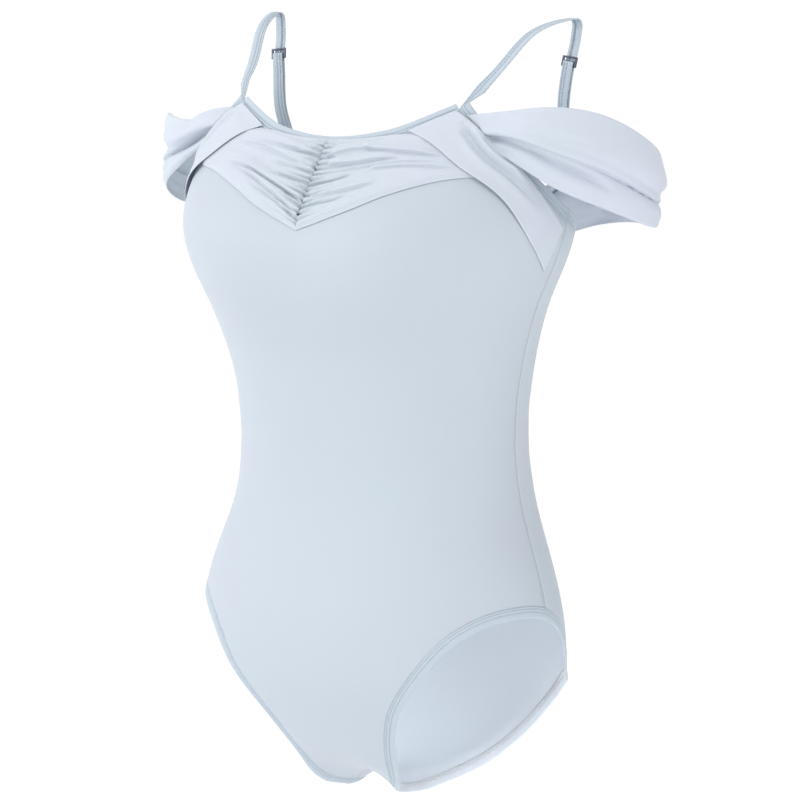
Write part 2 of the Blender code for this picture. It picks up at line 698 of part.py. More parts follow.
def sleeve_net(side):
    rows = [sleeve_root(SLEEVE_FRONT)]
    for row in SLEEVE:
        rows.append([row["x"], row["y"], row["top"], row["x"], row["y"], row["bottom"]])
    rows.append(sleeve_root(SLEEVE_BACK))
    rows = np.array(rows, float)
    middle = (rows[:, :3] + rows[:, 3:]) / 2
    line = smooth(rows, middle, SLEEVE_COLUMNS)
    round_arm = np.linspace(0, 1, SLEEVE_COLUMNS)[:, None, None]
    across = np.linspace(0, 1, SLEEVE_ROWS)[None, :, None]
    top = line[:, None, :3]
    bottom = line[:, None, 3:]
    ahead = np.gradient((line[:, :3] + line[:, 3:]) / 2, axis=0)
    out = unit(np.stack([ahead[:, 1], -ahead[:, 0], 0 * ahead[:, 0]], -1))[:, None]
    fold = SLEEVE_CREASE[side]
    run = np.clip(round_arm / SLEEVE_CREASE_RUN, 0, 1)
    place = fold["start"] + (fold["end"] - fold["start"]) * run
    free = np.clip(np.minimum(round_arm, 1 - round_arm) / SLEEVE_OPENS, 0, 1)
    puff = SLEEVE_BULGE * np.sin(math.pi * across) ** 0.8
    crease = fold["depth"] * np.exp(-(((across - place) / fold["width"]) ** 2) / 2)
    crease = crease * np.clip(4 * (1 - across) * across, 0, 1)
    points = root_on_body(top * (1 - across) + bottom * across, across[0, :, 0])
    points = points + out * (puff - crease) * free
    sag = np.exp(-(((round_arm - SLEEVE_DROP["at"]) / SLEEVE_DROP["spread"]) ** 2))
    points[..., 2:] -= SLEEVE_DROP.get(side, 0.0) * sag * (1 - across) * free
    points -= SLEEVE_DRAWN_IN.get(side, 0.0) * out * free
    return points.transpose(1, 0, 2)[::-1]


for side in ("left", "right"):
    cloth("sleeve_" + side, sleeve_net(side), SLEEVE_WALL, MESH, side == "right")


# Armhole binding and shoulder strap, one strip. It lies along the armhole from the side
# seam to the neckline corner, rises over the shoulder, passes its slider, turns round its
# ring and comes back up behind itself to the slider. Each row is a point of the strip's
# inner face. turn is the heading of its width, in degrees from sideways.
STRAP_WALL = 0.0014
STRAP_JOIN = -0.0700  # station where the strip leaves the body
STRAP = [
    dict(x=0.1146, y=-0.0890, z=-0.0605, turn=22),
    dict(x=0.1180, y=-0.0779, z=-0.0500, turn=8),
    dict(x=0.1234, y=-0.0638, z=-0.0350, turn=0),
    dict(x=0.1314, y=-0.0454, z=-0.0155, turn=0),
    dict(x=0.1375, y=-0.0287, z=-0.0070, turn=0),
    dict(x=0.1430, y=-0.0140, z=-0.0028, turn=0),
    dict(x=0.1456, y=-0.0055, z=-0.0015, turn=0),
    dict(x=0.1463, y=-0.0018, z=-0.0022, turn=0),
    dict(x=0.1463, y=0.0003, z=-0.0052, turn=0),
    dict(x=0.1459, y=0.0006, z=-0.0095, turn=0),
    dict(x=0.1448, y=0.0000, z=-0.0200, turn=0),
    dict(x=0.1432, y=-0.0030, z=-0.0350, turn=0),
    dict(x=0.1414, y=-0.0041, z=-0.0500, turn=-2),
    dict(x=0.1403, y=-0.0045, z=-0.0650, turn=-6),
    dict(x=0.1395, y=-0.0030, z=-0.0800, turn=-12),
    dict(x=0.1372, y=0.0040, z=-0.1000, turn=-20),
    dict(x=0.1335, y=0.0160, z=-0.1220, turn=-28),
]
TOP_BEND = dict(start=6, stop=10)  # rows of STRAP between which the strip bends sharply
SLIDER_ROW = 11

RING_ANGLE = math.radians(127.0)
WIRE = 0.0008
CLEAR = 0.0004
LOOP_GAP = WIRE + CLEAR  # from the middle of a wire to the cloth round it
RING_WIDTH = 0.0126
RING_HEIGHT = 0.0060
RING_CORNER = 0.0016
TAB_RISE = 0.0018  # from the back edge up to the ring's lower wire
TAB_GAP = 0.0016  # from the middle of the wire to the tab round it
TAB_LENGTH = 0.0095
TAB_WALL = 0.0012
TURN_STEPS = 8


def back_frame():
    """The place on the back edge where the ring's tab sits: a point in the middle of the
    binding's wall, and the directions outward, sideways and up."""
    k = np.argmin(np.abs(back_edge[:, 0] - RING_ANGLE))
    angle, station = back_edge[k]
    out = body_normal(angle, station)
    across = unit(np.cross(out, np.array([0.0, 0.0, 1.0])))
    across = across if across[0] > 0 else -across
    up = unit(np.cross(out, across))
    up = up if up[2] > 0 else -up
    return body(angle, station) + out * (BINDING_WALL / 2 - WALL), out, across, up


EDGE_AT, EDGE_OUT, EDGE_ACROSS, EDGE_UP = back_frame()
RING_AT = EDGE_AT + EDGE_UP * (TAB_RISE + RING_HEIGHT / 2)


def strip(name, faces_at, widths, look, mirrored, wall=STRAP_WALL, fixed=None):
    """A strip along points of its inner face. widths point to its right edge, seen from
    outside with the path going up. fixed gives both faces of its first rows."""
    ahead = unit(np.gradient(faces_at, axis=0))
    widths = unit(widths - np.sum(widths * ahead, -1, keepdims=True) * ahead)
    out = unit(np.cross(widths, ahead))
    inner = np.stack([faces_at - widths * BINDING_WIDTH / 2, faces_at + widths * BINDING_WIDTH / 2], 1)
    outer = inner + out[:, None] * wall
    if fixed:
        count = len(fixed[0])
        inner[:count] = fixed[0]
        outer[:count] = fixed[1]
    layered(name, inner, outer, look, mirrored)


def hairpin(centre, out, across, up, steps, clearance):
    """Points of a half turn over a wire, from its outer side to its inner side, and the
    widths that go with them. up is the side of the wire that the cloth goes round."""
    turn = np.linspace(0, math.pi, steps)[:, None]
    points = centre + clearance * (np.cos(turn) * out + np.sin(turn) * up)
    return points, np.repeat(across[None], steps, 0)


def armhole_part():
    """The two edges of the strip along the armhole, from the side seam up."""
    start_outer, _ = crossing(arm_edge, FRONT_SIDE)
    start_inner, _ = crossing(arm_inner, FRONT_SIDE)
    stop = np.interp(STRAP_JOIN, arm_edge[:, 1], np.arange(len(arm_edge)))
    spots = FRONT["arm"][FRONT["arm"] < stop - 1]
    spots = np.concatenate([spots, [stop]])
    edges = []
    for line, start in ((arm_inner, start_inner), (arm_edge, start_outer)):
        ends = np.array(spots)
        ends[0] = start
        edges.append(pick(line, ends))
    net = np.stack(edges, 1)
    return wear(net), wear(net, STRAP_WALL)


def strap_path():
    rows = [np.concatenate([(a + b) / 2, unit(b - a)]) for a, b in armhole_part()[0]]
    for row in STRAP:
        turn = math.radians(row["turn"])
        rows.append(np.array([row["x"], row["y"], row["z"], math.cos(turn), math.sin(turn), 0.0]))
    top_wire = RING_AT + EDGE_UP * RING_HEIGHT / 2
    for lift in (0.010, 0.0):
        at = top_wire + EDGE_UP * lift + EDGE_OUT * LOOP_GAP
        rows.append(np.concatenate([at, EDGE_ACROSS]))
    rows = np.array(rows)
    first = len(armhole_part()[0])
    along = np.concatenate([[0], np.cumsum(np.linalg.norm(np.diff(rows[:, :3], axis=0), axis=1))])
    curve = natural_spline(along, rows)
    bend = along[first + TOP_BEND["start"]], along[first + TOP_BEND["stop"]]
    slider = along[first + SLIDER_ROW]
    spots = np.concatenate(
        [
            along[:first],
            np.linspace(along[first], bend[0], 18)[:-1],
            np.linspace(*bend, 12)[:-1],
            np.linspace(bend[1], slider, 5)[:-1],
            np.linspace(slider, along[-1], 20),
        ]
    )
    return curve(spots), len(spots) - 20, curve(slider)


def strap(side):
    path, slider_row, at_slider = strap_path()
    turn, widths = hairpin(
        RING_AT + EDGE_UP * RING_HEIGHT / 2, EDGE_OUT, EDGE_ACROSS, -EDGE_UP, TURN_STEPS, LOOP_GAP
    )
    down = path[slider_row:]
    ahead = unit(np.gradient(down[:, :3], axis=0))
    flat = unit(down[:, 3:] - np.sum(down[:, 3:] * ahead, -1, keepdims=True) * ahead)
    out = unit(np.cross(flat, ahead))
    back = (down[:, :3] - 2 * LOOP_GAP * out)[-2::-1]
    points = np.concatenate([path[:, :3], turn[1:], back])
    widths = np.concatenate([path[:, 3:], widths[1:], down[-2::-1, 3:]])
    strip("strap_" + side, points, widths, BINDING, side == "right", fixed=armhole_part())


for side in ("left", "right"):
    strap(side)


def ring(side):
    """A wire ring of rounded corners, standing in the frame of the back edge."""
    corners = []
    for k in range(4):
        right = 1 if k in (0, 3) else -1
        top = 1 if k in (0, 1) else -1
        middle = (right * (RING_WIDTH / 2 - RING_CORNER), top * (RING_HEIGHT / 2 - RING_CORNER))
        for step in (0, 0.5, 1):
            turn = (k + step) * math.pi / 2
            reach = (RING_CORNER * math.cos(turn), RING_CORNER * math.sin(turn))
            corners.append((middle[0] + reach[0], middle[1] + reach[1]))
    curve = bpy.data.curves.new("ring_" + side, "CURVE")
    curve.dimensions = "3D"
    curve.bevel_depth = WIRE
    curve.bevel_resolution = 1
    curve.use_fill_caps = True
    line = curve.splines.new("POLY")
    line.points.add(len(corners) - 1)
    line.use_cyclic_u = True
    for point, (across, up) in zip(line.points, corners):
        spot = RING_AT + EDGE_ACROSS * across + EDGE_UP * up
        if side == "right":
            spot[0] *= -1
        point.co = (*spot, 1.0)
    curve.materials.append(METAL)
    made = bpy.data.objects.new("ring_" + side, curve)
    parts.objects.link(made)


def tab(side):
    """The loop of binding that holds the ring, its two legs either side of the back edge."""
    wire = EDGE_AT + EDGE_UP * TAB_RISE
    leg = np.linspace(-TAB_LENGTH, -TAB_LENGTH / 3, 3)[:, None] * EDGE_UP
    outer = wire + leg + EDGE_OUT * TAB_GAP
    inner = (wire + leg - EDGE_OUT * TAB_GAP)[::-1]
    turn, _ = hairpin(wire, EDGE_OUT, EDGE_ACROSS, EDGE_UP, TURN_STEPS, TAB_GAP)
    points = np.concatenate([outer, turn, inner])
    widths = np.repeat(-EDGE_ACROSS[None], len(points), 0)
    strip("ring_tab_" + side, points, widths, BINDING, side == "right", TAB_WALL)


SLIDER_SIZE = dict(width=0.0140, height=0.0086, wall=2 * WIRE)
SLIDER_WINDOW = dict(width=0.0104, height=0.0022, away=0.0018)


def slider(side):
    """A flat slide with two windows, between the two layers of the strap."""
    path, slider_row, at = strap_path()
    ahead = unit(path[slider_row + 1, :3] - path[slider_row - 1, :3])
    across = unit(at[3:] - np.dot(at[3:], ahead) * ahead)
    out = unit(np.cross(across, ahead))
    middle = at[:3] - out * LOOP_GAP
    turn = mathutils.Matrix([list(v) for v in (across, out, -ahead)]).transposed().to_4x4()
    place = mathutils.Matrix.Translation(middle) @ turn

    def block(name, width, wall, height, rise, group):
        mesh = bpy.data.meshes.new(name)
        shape = bmesh.new()
        bmesh.ops.create_cube(shape, size=1.0)
        bmesh.ops.scale(shape, vec=(width, wall, height), verts=shape.verts)
        bmesh.ops.translate(shape, vec=(0, 0, rise), verts=shape.verts)
        bmesh.ops.transform(shape, matrix=place, verts=shape.verts)
        if side == "right":
            bmesh.ops.scale(shape, vec=(-1, 1, 1), verts=shape.verts)
        bmesh.ops.recalc_face_normals(shape, faces=shape.faces)
        shape.to_mesh(mesh)
        shape.free()
        made = bpy.data.objects.new(name, mesh)
        group.objects.link(made)
        return made

    size = SLIDER_SIZE
    plate = block("slider_" + side, size["width"], size["wall"], size["height"], 0, parts)
    plate.data.materials.append(METAL)
    window = SLIDER_WINDOW
    for k, rise in enumerate((-window["away"], window["away"])):
        name = "window_%d_%s" % (k, side)
        cutter = block(name, window["width"], size["wall"] * 3, window["height"], rise, cutters)
        cutter.hide_render = True
        cutter.display_type = "WIRE"
        cut = plate.modifiers.new("window", "BOOLEAN")
        cut.operation = "DIFFERENCE"
        cut.solver = "EXACT"
        cut.object = cutter
    soft = plate.modifiers.new("soft_edges", "BEVEL")
    soft.width = 0.0003
    soft.segments = 1


for side in ("left", "right"):
    ring(side)
    tab(side)
    slider(side)
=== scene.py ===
"""The look of a ballet leotard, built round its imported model: fine cloth with its folds and
gathers, bound edges with their stitching, knit and mesh finishes, lights and camera.

Metres, +Z up. The front faces -Y and the wearer's left is +X. Each cloth is worked out from
the same sections and edges as its solid, in finer steps, and stands for that solid.
"""

import math

import bmesh
import bpy
import numpy as np
from mathutils import Matrix, Vector


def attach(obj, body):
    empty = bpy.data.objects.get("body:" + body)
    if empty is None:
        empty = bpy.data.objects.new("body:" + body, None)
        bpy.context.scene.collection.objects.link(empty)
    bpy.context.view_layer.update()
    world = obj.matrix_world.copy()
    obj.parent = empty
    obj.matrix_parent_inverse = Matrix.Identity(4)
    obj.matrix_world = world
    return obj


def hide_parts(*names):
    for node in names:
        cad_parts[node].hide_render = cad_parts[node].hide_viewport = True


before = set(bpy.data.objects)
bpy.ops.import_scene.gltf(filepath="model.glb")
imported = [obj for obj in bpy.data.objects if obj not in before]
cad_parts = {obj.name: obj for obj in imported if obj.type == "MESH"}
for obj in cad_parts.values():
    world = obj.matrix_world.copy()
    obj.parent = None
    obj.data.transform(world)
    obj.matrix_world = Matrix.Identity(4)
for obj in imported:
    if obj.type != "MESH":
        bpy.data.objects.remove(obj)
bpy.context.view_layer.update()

# Cloth and seams
WALL = 0.0012  # stretch jersey
BINDING_WIDTH = 0.0095
BINDING_WALL = 0.0014
SEAM_GAP = 0.00010
SIDE_GAP = 0.00010


def rows_of(columns, *rows):
    """Rows of a table, each as a dict with the names of the columns."""
    return [dict(zip(columns.split(), row)) for row in rows]


# The torso is a stack of sections along a station. Above POLE a station is a height.
# Below it the section planes swing under the body about the hip line, and the station
# falls by FAN_LENGTH for each radian that they swing.
POLE = -0.530
PIVOT_Y = -0.030
FAN_LENGTH = 0.100
UNDER = POLE - FAN_LENGTH * math.pi / 2  # the crotch seam, straight below the hip line

# Sections: depths are measured from the side line, at side_y.
SECTIONS = rows_of(
    "station half_width front back side_y front_power",
    (-0.040, 0.1520, 0.0700, 0.0500, -0.0300, 2.7),
    (-0.080, 0.1590, 0.0860, 0.0620, -0.0320, 2.7),
    (-0.125, 0.1663, 0.1065, 0.0752, -0.0355, 2.8),
    (-0.176, 0.1681, 0.1260, 0.0847, -0.0432, 2.7),
    (-0.226, 0.1494, 0.1206, 0.0833, -0.0454, 2.5),
    (-0.275, 0.1336, 0.0993, 0.0833, -0.0412, 2.4),
    (-0.315, 0.1277, 0.0881, 0.0842, -0.0394, 2.3),
    (-0.357, 0.1274, 0.0830, 0.0870, -0.0360, 2.3),
    (-0.398, 0.1340, 0.0843, 0.0934, -0.0326, 2.3),
    (-0.435, 0.1472, 0.0895, 0.0990, -0.0326, 2.3),
    (-0.485, 0.1605, 0.1015, 0.1060, -0.0315, 2.25),
    (POLE, 0.1632, 0.1012, 0.1090, PIVOT_Y, 2.2),
    (-0.585, 0.1590, 0.0895, 0.1060, PIVOT_Y, 2.1),
    (-0.635, 0.1440, 0.0930, 0.1020, PIVOT_Y, 2.0),
    (UNDER, 0.1260, 0.0970, 0.0970, PIVOT_Y, 2.1),
)
BACK_POWER = 2.1


def natural_spline(knots, values):
    """The natural cubic spline through values at increasing knots, as a function."""
    x = np.asarray(knots, float)
    y = np.asarray(values, float)
    count = len(x)
    step = np.diff(x)
    matrix = np.eye(count)
    right = np.zeros((count,) + y.shape[1:])
    for i in range(1, count - 1):
        matrix[i, i - 1 : i + 2] = step[i - 1], 2 * (step[i - 1] + step[i]), step[i]
        right[i] = 6 * ((y[i + 1] - y[i]) / step[i] - (y[i] - y[i - 1]) / step[i - 1])
    bend = np.linalg.solve(matrix, right)

    def at(t):
        t = np.asarray(t, float)
        i = np.clip(np.searchsorted(x, t) - 1, 0, count - 2)
        width = step[i]
        a = (x[i + 1] - t) / width
        b = 1 - a
        if y.ndim > 1:
            a, b, width = a[..., None], b[..., None], width[..., None]
        curve = ((a**3 - a) * bend[i] + (b**3 - b) * bend[i + 1]) * width**2 / 6
        return a * y[i] + b * y[i + 1] + curve

    return at


SECTION_KEYS = ("half_width", "front", "back", "side_y", "front_power")
section_at = natural_spline(
    [-row["station"] for row in SECTIONS],
    [[row[key] for key in SECTION_KEYS] for row in SECTIONS],
)

# Bust: a soft rise either side of the middle, bridged by the stretched cloth between.
BUST = dict(x=0.078, height=-0.188, rise=0.009, spread_x=0.040, spread_z=0.042)
# Under the body the cloth is drawn up along the middle.
GROOVE = dict(depth=0.008, half_width=0.022, power=6)
# Towards the leg edges it falls again. Rows give a station and the angle of the lip there,
# from the middle of the back, and the share of its full depth at the back and in front.
LIP = rows_of(
    "station angle back front",
    (-0.530, 66.0, 0.00, 0.0),
    (-0.560, 60.0, 0.65, 0.0),
    (-0.585, 54.0, 1.00, 0.0),
    (-0.610, 46.0, 1.00, 0.0),
    (-0.640, 29.0, 1.00, 0.3),
    (-0.665, 20.0, 1.00, 0.8),
    (UNDER, 18.0, 1.00, 1.0),
)
LIP_SIZE = dict(depth=0.0135, reach=17.0, most=1.25)  # metres, degrees and a share


def lip(angle, station, ahead):
    """How far the cloth falls towards the leg edges, out from the hip line."""
    rows = {key: [row[key] for row in reversed(LIP)] for key in LIP[0]}
    edge = np.interp(station, rows["station"], rows["angle"])
    share = np.where(
        ahead,
        np.interp(station, rows["station"], rows["front"]),
        np.interp(station, rows["station"], rows["back"]),
    )
    off_middle = np.degrees(np.arctan2(np.abs(np.sin(angle)), np.abs(np.cos(angle))))
    near = np.clip(1 - (edge - off_middle) / LIP_SIZE["reach"], 0, LIP_SIZE["most"])
    return LIP_SIZE["depth"] * share * near**2


def body(angle, station):
    """Points of the outer face of the torso. angle is in radians from the middle of the front,
    0 there and pi at the middle of the back, positive towards the wearer's left."""
    angle, station = np.broadcast_arrays(np.asarray(angle, float), np.asarray(station, float))
    width, front, back, side_y, front_power = np.moveaxis(section_at(-station), -1, 0)
    ahead = np.cos(angle) >= 0
    depth = np.where(ahead, front, back)
    power = np.where(ahead, front_power, BACK_POWER)
    reach = (np.abs(np.sin(angle)) / width) ** power + (np.abs(np.cos(angle)) / depth) ** power
    radius = reach ** (-1 / power)
    x = radius * np.sin(angle)
    out = radius * np.abs(np.cos(angle))
    facing = np.where(ahead, -1.0, 1.0)

    swing = np.clip((POLE - station) / FAN_LENGTH, 0, math.pi / 2)
    groove = GROOVE["depth"] * np.sin(swing) ** GROOVE["power"]
    groove = groove * np.exp(-((x / GROOVE["half_width"]) ** 2))
    level = np.exp(-(((station - BUST["height"]) / BUST["spread_z"]) ** 2) / 2)
    across = sum(np.exp(-(((x - s * BUST["x"]) / BUST["spread_x"]) ** 2) / 2) for s in (-1, 1))
    rise = np.where(ahead, BUST["rise"] * level * across * np.cos(angle) ** 2, 0)
    out = out - groove + rise + lip(angle, station, ahead)

    y = side_y + facing * out * np.cos(swing)
    z = np.where(station >= POLE, station, POLE - out * np.sin(swing))
    return np.stack([x, y, z], -1)


def unit(vectors):
    return vectors / np.linalg.norm(vectors, axis=-1, keepdims=True)


def measure(line):
    """How far along a line each of its points lies."""
    return np.concatenate([[0], np.cumsum(np.linalg.norm(np.diff(line, axis=0), axis=1))])


def body_normal(angle, station):
    """Outward normals of the torso."""
    nudge = NORMAL_NUDGE
    along_angle = body(angle + nudge, station) - body(angle - nudge, station)
    along_station = body(angle, station + nudge) - body(angle, station - nudge)
    return unit(np.cross(along_angle, along_station))


# Edges of the cut, as (degrees round from the middle of the front, station). They run
# anticlockwise round the front panel seen from outside, so the cloth is on their left.
LEG_EDGE = [
    (17.0, UNDER), (19.6, -0.6700), (24.6, -0.6560), (29.5, -0.6330), (35.0, -0.6010),
    (40.0, -0.5680), (45.5, -0.5400), (51.5, -0.5170), (57.5, -0.5000), (64.0, -0.4885),
    (71.5, -0.4805), (79.5, -0.4775), (88.0, -0.4790), (96.0, -0.4900), (102.0, -0.5080),
    (107.5, -0.5300), (115.0, -0.5460), (120.5, -0.5580), (125.9, -0.5726), (131.0, -0.5890),
    (136.7, -0.6068), (142.7, -0.6207), (148.5, -0.6317), (155.4, -0.6462), (160.7, -0.6640),
    (163.0, UNDER),
]
ARM_EDGE = [
    (101.0, -0.1680), (94.9, -0.1587), (90.0, -0.1510), (85.5, -0.1440), (78.7, -0.1325),
    (70.2, -0.1135), (65.0, -0.0985), (61.5, -0.0835), (58.4, -0.0690), (56.0, -0.0560),
]
NECK_EDGE = [
    (62.0, -0.0600), (56.5, -0.0690), (49.0, -0.0775), (41.0, -0.0853), (32.0, -0.0922),
    (22.0, -0.0967), (12.0, -0.0995), (0.0, -0.1008),
]
BACK_EDGE = [
    (180.0, -0.1980), (158.0, -0.1920), (138.0, -0.1790), (118.0, -0.1700), (104.0, -0.1640),
    (94.9, -0.1565), (86.0, -0.1440),
]
SIDE = 90.0
SIDE_STATION = -0.35  # where a gap beside the side seam is measured

FINE = 240  # steps when a curve is measured
SETTLE_STEPS = 6
PARALLEL = 1e-15  # two steps with less turn between them never cross
NORMAL_NUDGE = 1e-4  # how far apart points are taken for a normal
SLOPE_NUDGE = 1e-5
MIDDLE_RISE = dict(share=0.12, power=0.75)  # how a panel's rows bow up in the middle


def slopes_at(line):
    """How the body's points move with the angle and with the station, along a line."""
    nudge = SLOPE_NUDGE
    angle, station = line[:, 0], line[:, 1]
    under = np.maximum(station - nudge, UNDER)
    by_angle = (body(angle + nudge, station) - body(angle - nudge, station)) / (2 * nudge)
    by_station = body(angle, station + nudge) - body(angle, under)
    by_station = by_station / (station + nudge - under)[:, None]
    return np.stack([by_angle, by_station], -1)


def settle(line, wanted):
    """A line of (angle, station) near line, whose points on the body lie nearest to wanted."""
    line = line.copy()
    for _ in range(SETTLE_STEPS):
        away = wanted - body(line[:, 0], line[:, 1])
        line += np.einsum("nij,nj->ni", np.linalg.pinv(slopes_at(line)), away)
        line[:, 1] = np.maximum(line[:, 1], UNDER)
    return line


def trace(table):
    """A smooth line of (angle in radians, station) over the body, through edge points."""
    points = np.array([(math.radians(angle), station) for angle, station in table])
    spots = body(points[:, 0], points[:, 1])
    line, wanted = smooth(points, spots), smooth(spots, spots)
    return settle(line, wanted)


def smooth(points, spots, count=FINE):
    """A spline through points, spaced by the distances between spots."""
    along = measure(spots)
    return natural_spline(along, points)(np.linspace(0, along[-1], count))


def even(line, count, power=1.0):
    """The same line of (angle, station) at count points spread evenly over the cloth.
    A power above 1 crowds them towards the start."""
    spots = body(line[:, 0], line[:, 1])
    along = measure(spots)
    wanted = along[-1] * np.linspace(0, 1, count) ** power
    return np.stack([np.interp(wanted, along, line[:, k]) for k in (0, 1)], -1)


def shift(line, distance, loop=False):
    """The line moved over the cloth to its left, seen from outside, by distance."""
    spots = body(line[:, 0], line[:, 1])
    ahead = unit(np.gradient(spots, axis=0))
    if loop:
        ahead[0] = ahead[-1] = unit(ahead[0] + ahead[-1])
    left = unit(np.cross(body_normal(line[:, 0], line[:, 1]), ahead))
    return settle(line, spots + left * distance)


def crossing(a, b):
    """Where line a first crosses line b, as a place along each counted in points."""
    for i in range(len(a) - 1):
        step = a[i + 1] - a[i]
        for j in range(len(b) - 1):
            other = b[j + 1] - b[j]
            turn = step[0] * other[1] - step[1] * other[0]
            if abs(turn) < PARALLEL:
                continue
            away = b[j] - a[i]
            s = (away[0] * other[1] - away[1] * other[0]) / turn
            t = (away[0] * step[1] - away[1] * step[0]) / turn
            if 0 <= s <= 1 and 0 <= t <= 1:
                return i + s, j + t
    raise ValueError("the two edges don't meet")


def places(line, start, stop, count):
    """Places along a line, counted in points, that spread evenly over the cloth."""
    spots = body(line[:, 0], line[:, 1])
    along = measure(spots)
    ends = np.interp([start, stop], np.arange(len(line)), along)
    return np.interp(np.linspace(*ends, count), along, np.arange(len(line)))


def pick(line, spots):
    """The points of a line at places counted in points."""
    return np.stack([np.interp(spots, np.arange(len(line)), line[:, k]) for k in (0, 1)], -1)


def upright(degrees):
    """A straight line up the body at one angle."""
    return np.array([(math.radians(degrees), UNDER), (math.radians(degrees), 0.0)])


def skirt(degrees, gap):
    """The angle in degrees, moved by gap metres over the side of the body."""
    here, next_to_it = body(np.radians([degrees, degrees + 1]), SIDE_STATION)
    return degrees + gap / np.linalg.norm(next_to_it - here)


HALF_GAP = SEAM_GAP / 2
FRONT_SIDE = upright(skirt(SIDE, -SIDE_GAP / 2))
BACK_SIDE = upright(skirt(SIDE, SIDE_GAP / 2))
INSET = BINDING_WIDTH + SEAM_GAP

leg_edge = trace(LEG_EDGE)
arm_edge = trace(ARM_EDGE)
neck_edge = trace(NECK_EDGE)
back_edge = trace(BACK_EDGE)
leg_inset = shift(leg_edge, INSET, True)
arm_inset = shift(arm_edge, INSET)
neck_inset = shift(neck_edge, INSET)
back_inset = shift(back_edge, INSET)


def joined(*lines):
    return np.concatenate([lines[0]] + [line[1:] for line in lines[1:]])


def panel_net(bottom, side, top):
    """A net of (angle, station) over half a panel, row by row from the bottom edge up and
    from the middle to the side. bottom and top start at the middle."""
    t = np.linspace(0, 1, len(side))[:, None, None]
    s = np.linspace(0, 1, len(top))[None, :, None]
    climb = (side[:, 1] - side[0, 1]) / (side[-1, 1] - side[0, 1])
    share = np.linspace(0, 1, len(side))
    bow = MIDDLE_RISE["share"] * np.sin(math.pi * share ** MIDDLE_RISE["power"])
    climb = (climb + share) / 2 + bow
    middle = bottom[0] + (top[0] - bottom[0]) * climb[:, None]
    corners = (1 - t) * ((1 - s) * bottom[0] + s * bottom[-1]) + t * ((1 - s) * top[0] + s * top[-1])
    return (
        (1 - t) * bottom[None]
        + t * top[None]
        + (1 - s) * middle[:, None]
        + s * side[:, None]
        - corners
    )


def both_sides(net, middle):
    """The half net and its mirror image about the angle of the middle, as one net."""
    far = net[:, :0:-1].copy()
    far[..., 0] = 2 * middle - far[..., 0]
    return np.concatenate([far, net], axis=1)


def wear(net, lift=0.0):
    """Points of a net of (angle, station), lift metres off the wearer's side of the body."""
    angle, station = net[..., 0], net[..., 1]
    lift = np.broadcast_to(lift - WALL, angle.shape)[..., None]
    return body(angle, station) + lift * body_normal(angle, station)


# Finishes. Cloth nodes read a map in millimetres: u along the courses, v along the wales.
MILLIMETRES = 1000  # in a metre
JERSEY_COLOUR = (0.460, 0.520, 0.577)
JERSEY_TINT = (0.478, 0.515, 0.583)
BINDING_COLOUR = (0.440, 0.510, 0.575)
BINDING_TINT = (0.460, 0.520, 0.585)
MESH_COLOUR = (0.640, 0.682, 0.772)
MESH_TINT = (0.605, 0.682, 0.732)
INSIDE_COLOUR = (0.750, 0.805, 0.870)
THREAD_COLOUR = (0.300, 0.390, 0.470)
HEM_THREAD_COLOUR = (0.470, 0.550, 0.640)
WHITE_THREAD = (0.920, 0.950, 1.000)
METAL_COLOUR = (0.035, 0.042, 0.060)
INSIDE = "inside"  # an attribute, 1 on the face of a cloth towards the wearer

# course is the height of a course against the width of a wale. Each slow noise changes the
# tint from the level tint_from on, tint_gain times.
KNIT = dict(
    course=0.8, wale_height=0.6, course_height=0.15, fuzz_scale=1400.0, fuzz_detail=3.0,
    slow_scale=7.0, slow_detail=2.0, tint_from=0.35, tint_gain=2.2, dark=0.93, worn=0.35,
    sheen=0.08, sheen_roughness=0.5, specular=0.30,
)
NET = dict(
    cells=1.1, uneven=0.25, cloud_scale=38.0, cloud_detail=3.0, slow_scale=9.0, slow_detail=1.0,
    relief=0.00018, tint_from=0.38, tint_gain=3.0, hole=0.86, hole_from=0.62, hole_gain=0.5,
    roughness=0.75, sheen=0.3, specular=0.2,
)
YARN = dict(twist_scale=3000.0, twist_detail=2.0, relief=0.00005, dark=0.8, roughness=0.5)
COATING = dict(
    wear_scale=900.0, wear_detail=4.0, bright=2.2, relief=0.00004, rough=0.15, rough_gain=0.25,
    metallic=0.85,
)


def shade(colour, share):
    return tuple(share * c for c in colour)


